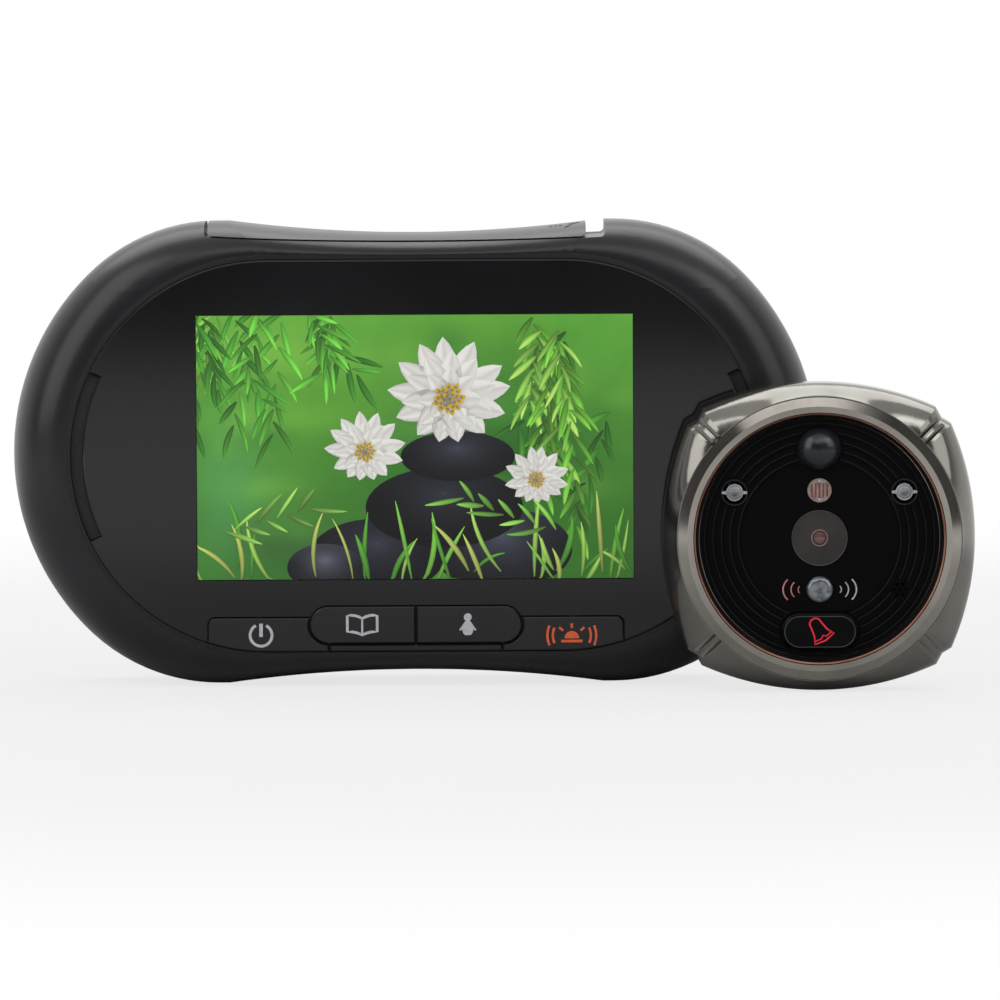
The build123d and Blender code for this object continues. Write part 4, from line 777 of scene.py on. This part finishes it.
def stone(x, z, half_width, half_height, color):
    """A smooth round stone, light from above."""
    steps = 40
    rows, colors = [], []
    for ring in (1.0, 0.93, 0.8, 0.62, 0.4, 0.2, 0.01):
        turns = [2 * math.pi * step / steps for step in range(steps + 1)]
        shift = (1 - ring) * 0.34 * half_height
        rows.append([
            (x + ring * half_width * math.cos(t), z + shift + ring * half_height * math.sin(t)) for t in turns
        ])
        colors.append([
            shade(color, 0.5 + 1.5 * (1 - ring) ** 1.5 + 0.75 * max(0, math.sin(t)) * ring) for t in turns
        ])
    picture_rows(rows, colors)


def petal(x, z, heading, length, width, color):
    """A pointed petal, shaded at its foot and edges."""
    rows, colors = [], []
    steps = 8
    turn = math.radians(heading)
    along = (math.cos(turn), math.sin(turn))
    for step in range(steps + 1):
        share = step / steps
        half = width / 2 * math.sin(math.pi * (0.1 + 0.9 * share)) ** 0.7 + 0.01
        middle = (x + along[0] * length * share, z + along[1] * length * share)
        rows.append([
            (middle[0] - along[1] * half * side, middle[1] + along[0] * half * side)
            for side in (-1, -0.45, 0, 0.45, 1)
        ])
        lit = 0.62 + 0.38 * min(1, share * 1.8)
        edge = 0.86 + 0.1 * math.sin(turn + 1)
        colors.append([shade(color, lit * f) for f in (edge, 0.97, 0.9, 1.02, edge + 0.06)])
    picture_rows(rows, colors)


def flower(x, z, size, tilt):
    """An open flower with three rings of white petals and a yellow heart."""
    for ring, (count, reach, wide) in enumerate(((13, 1.0, 0.4), (11, 0.78, 0.36), (8, 0.52, 0.3))):
        for number in range(count):
            heading = 360 * (number + 0.4 * ring) / count + tilt + random.uniform(-5, 5)
            lean = 1 - 0.3 * max(0, -math.sin(math.radians(heading)))
            petal(x, z, heading, size * reach * lean, size * wide, (246, 244, 238))
    stamens = 26
    for number in range(stamens):
        heading = number * 137.5
        far = size * 0.2 * math.sqrt(number / stamens)
        dot = (x + far * math.cos(math.radians(heading)), z + far * math.sin(math.radians(heading)))
        petal(*dot, heading, size * 0.09, size * 0.07, (232, 190, 60))


for _ in range(11):
    spray(
        random.uniform(0, 26), PICTURE_HEIGHT + 1, random.uniform(250, 292), random.uniform(10, 26), 11,
        random.choice([(96, 176, 62), (128, 196, 76), (72, 148, 52)]),
    )
for _ in range(12):
    spray(
        random.uniform(58, 81), random.uniform(30, 50), random.uniform(244, 282), random.uniform(12, 26), 12,
        random.choice([(108, 178, 60), (150, 208, 88), (66, 134, 46)]),
    )
stone(56, 5.5, 13, 7.5, (40, 42, 50))
stone(33, 4.2, 12.5, 7.0, (30, 31, 38))
stone(45.5, 13.2, 14.5, 7.4, (26, 27, 33))
stone(23.5, 2.2, 7, 4.4, (52, 54, 62))
stone(48, 22.6, 10.5, 4.6, (34, 35, 42))
flower(46.5, 33.2, 11.5, 8)
flower(31, 23.5, 7.6, 40)
flower(62.5, 18.2, 6.2, 20)
for _ in range(34):
    leaf(
        random.uniform(0, 81), random.uniform(-2, 2), random.uniform(50, 130), random.uniform(6, 15),
        random.uniform(0.5, 1.1), random.uniform(-50, 50),
        random.choice([(120, 190, 70), (84, 158, 52), (158, 206, 92), (176, 190, 96)]),
    )
spray(5, 9, 10, 18, 9, (150, 206, 92), 0.9)
spray(66, 9, 166, 20, 10, (128, 196, 76), 0.9)
screen_picture = new_piece(
    "screen_picture", picture["points"], picture["faces"], picture_lit, INDOOR
)
screen_picture.visible_glossy = False
color_layer = screen_picture.data.color_attributes.new(name="Color", type="FLOAT_COLOR", domain="POINT")
color_layer.data.foreach_set("color", [value for color in picture["colors"] for value in color])


# Floor, light and camera, in metres. Up to NEAR_FLOOR from its middle the floor keeps its own colour and
# shadow, with white mixed in by NEAR_WHITE for the camera and by NEAR_REFLECTED for reflections. From there
# to FAR_FLOOR it fades to white.
FLOOR_SIZE = 2.1
FLOOR_TONE = (0.42, 0.46)
NEAR_FLOOR = 0.16
FAR_FLOOR = 0.42
NEAR_WHITE = 0.76
NEAR_REFLECTED = 0.0


def pale_floor():
    """White floor that keeps the object's shadow and fades into the white ground behind it."""
    material, tree, shader, node = new_material("pale_floor")
    where = node("ShaderNodeTexCoord").outputs["Object"]
    grain = node("ShaderNodeTexNoise", {"Vector": where, "Scale": 40.0})
    tone = node(
        "ShaderNodeMapRange",
        {"Value": grain.outputs["Fac"], "To Min": FLOOR_TONE[0], "To Max": FLOOR_TONE[1]},
    )
    tree.links.new(tone.outputs["Result"], shader.inputs["Base Color"])
    set_shader(shader, {"Roughness": 0.7, "Specular IOR Level": 0.1})
    away = node("ShaderNodeVectorMath", {0: where}, operation="LENGTH")
    fades = []
    for near_share in (NEAR_WHITE, NEAR_REFLECTED):
        fades.append(node(
            "ShaderNodeMapRange",
            {
                "Value": away.outputs["Value"], "From Min": NEAR_FLOOR, "From Max": FAR_FLOOR,
                "To Min": near_share, "To Max": 1.0,
            },
            interpolation_type="SMOOTHSTEP",
        ).outputs["Result"])
    rays = node("ShaderNodeLightPath")
    direct = node(
        "ShaderNodeMath", {0: rays.outputs["Is Camera Ray"], 1: rays.outputs["Is Transmission Ray"]}
    )
    seen = node("ShaderNodeMath", {0: fades[0], 1: direct.outputs[0]}, operation="MULTIPLY")
    mirrored = node("ShaderNodeMath", {0: fades[1], 1: rays.outputs["Is Glossy Ray"]}, operation="MULTIPLY")
    share = node("ShaderNodeMath", {0: seen.outputs[0], 1: mirrored.outputs[0]})
    share.use_clamp = True
    white = node("ShaderNodeEmission", {"Color": (1, 1, 1, 1), "Strength": 1.0})
    mixed = node(
        "ShaderNodeMixShader", {"Fac": share.outputs[0], 1: shader.outputs[0], 2: white.outputs[0]}
    )
    tree.links.new(mixed.outputs[0], tree.nodes["Material Output"].inputs["Surface"])
    return material


floor_mesh = bpy.data.meshes.new("floor")
half = FLOOR_SIZE / 2
floor_mesh.from_pydata(
    [(-half, -half, 0), (half, -half, 0), (half, half, 0), (-half, half, 0)], [], [(0, 1, 2, 3)]
)
floor_mesh.materials.append(pale_floor())
floor = bpy.data.objects.new("floor", floor_mesh)
bpy.context.scene.collection.objects.link(floor)

# World: white for the camera, and for reflections a bright room with a darker side behind the camera
world = bpy.data.worlds.new("studio")
bpy.context.scene.world = world
world.use_nodes = True
world_tree = world.node_tree
background = world_tree.nodes["Background"]
world_node = node_maker(world_tree)
WORLD_FILL = 0.55
way = world_node("ShaderNodeTexCoord").outputs["Generated"]
split = world_node("ShaderNodeSeparateXYZ", {"Vector": way})
behind = world_node(
    "ShaderNodeMapRange",
    {"Value": split.outputs["Y"], "From Min": -0.3, "From Max": 0.45, "To Min": 0.1, "To Max": 1.0},
    interpolation_type="SMOOTHSTEP",
)
above = world_node(
    "ShaderNodeMapRange",
    {"Value": split.outputs["Z"], "From Min": 0.4, "From Max": 0.9, "To Min": 0.0, "To Max": 0.75},
    interpolation_type="SMOOTHSTEP",
)
room = world_node("ShaderNodeMath", {0: behind.outputs[0], 1: above.outputs[0]}, operation="MAXIMUM")
rays = world_node("ShaderNodeLightPath")
white_rays = world_node(
    "ShaderNodeMath",
    {0: rays.outputs["Is Camera Ray"], 1: rays.outputs["Is Transmission Ray"]},
    operation="MAXIMUM",
)
glossy_level = world_node(
    "ShaderNodeMath", {0: room.outputs[0], 1: rays.outputs["Is Glossy Ray"]}, operation="MULTIPLY"
)
shown = world_node(
    "ShaderNodeMath", {0: glossy_level.outputs[0], 1: white_rays.outputs[0]}, operation="MAXIMUM"
)
plain = world_node("ShaderNodeMath", {0: 1.0, 1: rays.outputs["Is Glossy Ray"]}, operation="SUBTRACT")
fill = world_node("ShaderNodeMath", {0: plain.outputs[0], 1: WORLD_FILL}, operation="MULTIPLY")
strength = world_node("ShaderNodeMath", {0: shown.outputs[0], 1: fill.outputs[0]}, operation="MAXIMUM")
world_tree.links.new(strength.outputs[0], background.inputs["Strength"])
background.inputs["Color"].default_value = (1, 1, 1, 1)


def look_at(thing, place, target, roll=0.0):
    """Puts a lamp or the camera at a place and turns it towards a target."""
    thing.location = place
    turn = (Vector(target) - Vector(place)).to_track_quat("-Z", "Y")
    thing.rotation_euler = (turn @ Quaternion((0, 0, 1), math.radians(roll))).to_euler()
    bpy.context.scene.collection.objects.link(thing)


def soft_light(name, place, width, height, power):
    light = bpy.data.lights.new(name, "AREA")
    light.shape = "RECTANGLE"
    light.size = width
    light.size_y = height
    light.energy = power
    look_at(bpy.data.objects.new(name, light), place, LIGHT_TARGET)


LIGHT_TARGET = (0, 0, 0.04)
# Each light's place, width and height in metres, and power in watts
LIGHTS = {
    "light_left": ((-0.72, -0.42, 0.5), 0.6, 0.9, 3.7),
    "light_right": ((0.72, -0.36, 0.46), 0.5, 0.6, 1.5),
    "light_above": ((0.0, 0.34, 0.62), 1.1, 0.4, 2.6),
    "light_high": ((0.25, -0.7, 0.8), 1.5, 0.42, 3.0),
}
for light_name, (place, width, height, power) in LIGHTS.items():
    soft_light(light_name, place, width, height, power)

# Camera at the photograph's view
TARGET = Vector((1.55 * MM, panel_low.y, 34.5 * MM))
ELEVATION = math.radians(4.2)
DISTANCE = 1.6
SENSOR_WIDTH = 36.0
FOCAL_LENGTH = 313.0
ROLL = -0.3
camera_data = bpy.data.cameras.new("camera")
camera_data.sensor_width = SENSOR_WIDTH
camera_data.lens = FOCAL_LENGTH
camera = bpy.data.objects.new("camera", camera_data)
camera_place = TARGET + DISTANCE * Vector((0, -math.cos(ELEVATION), math.sin(ELEVATION)))
look_at(camera, camera_place, TARGET, ROLL)
bpy.context.scene.camera = camera
bpy.context.scene.view_settings.view_transform = "Standard"
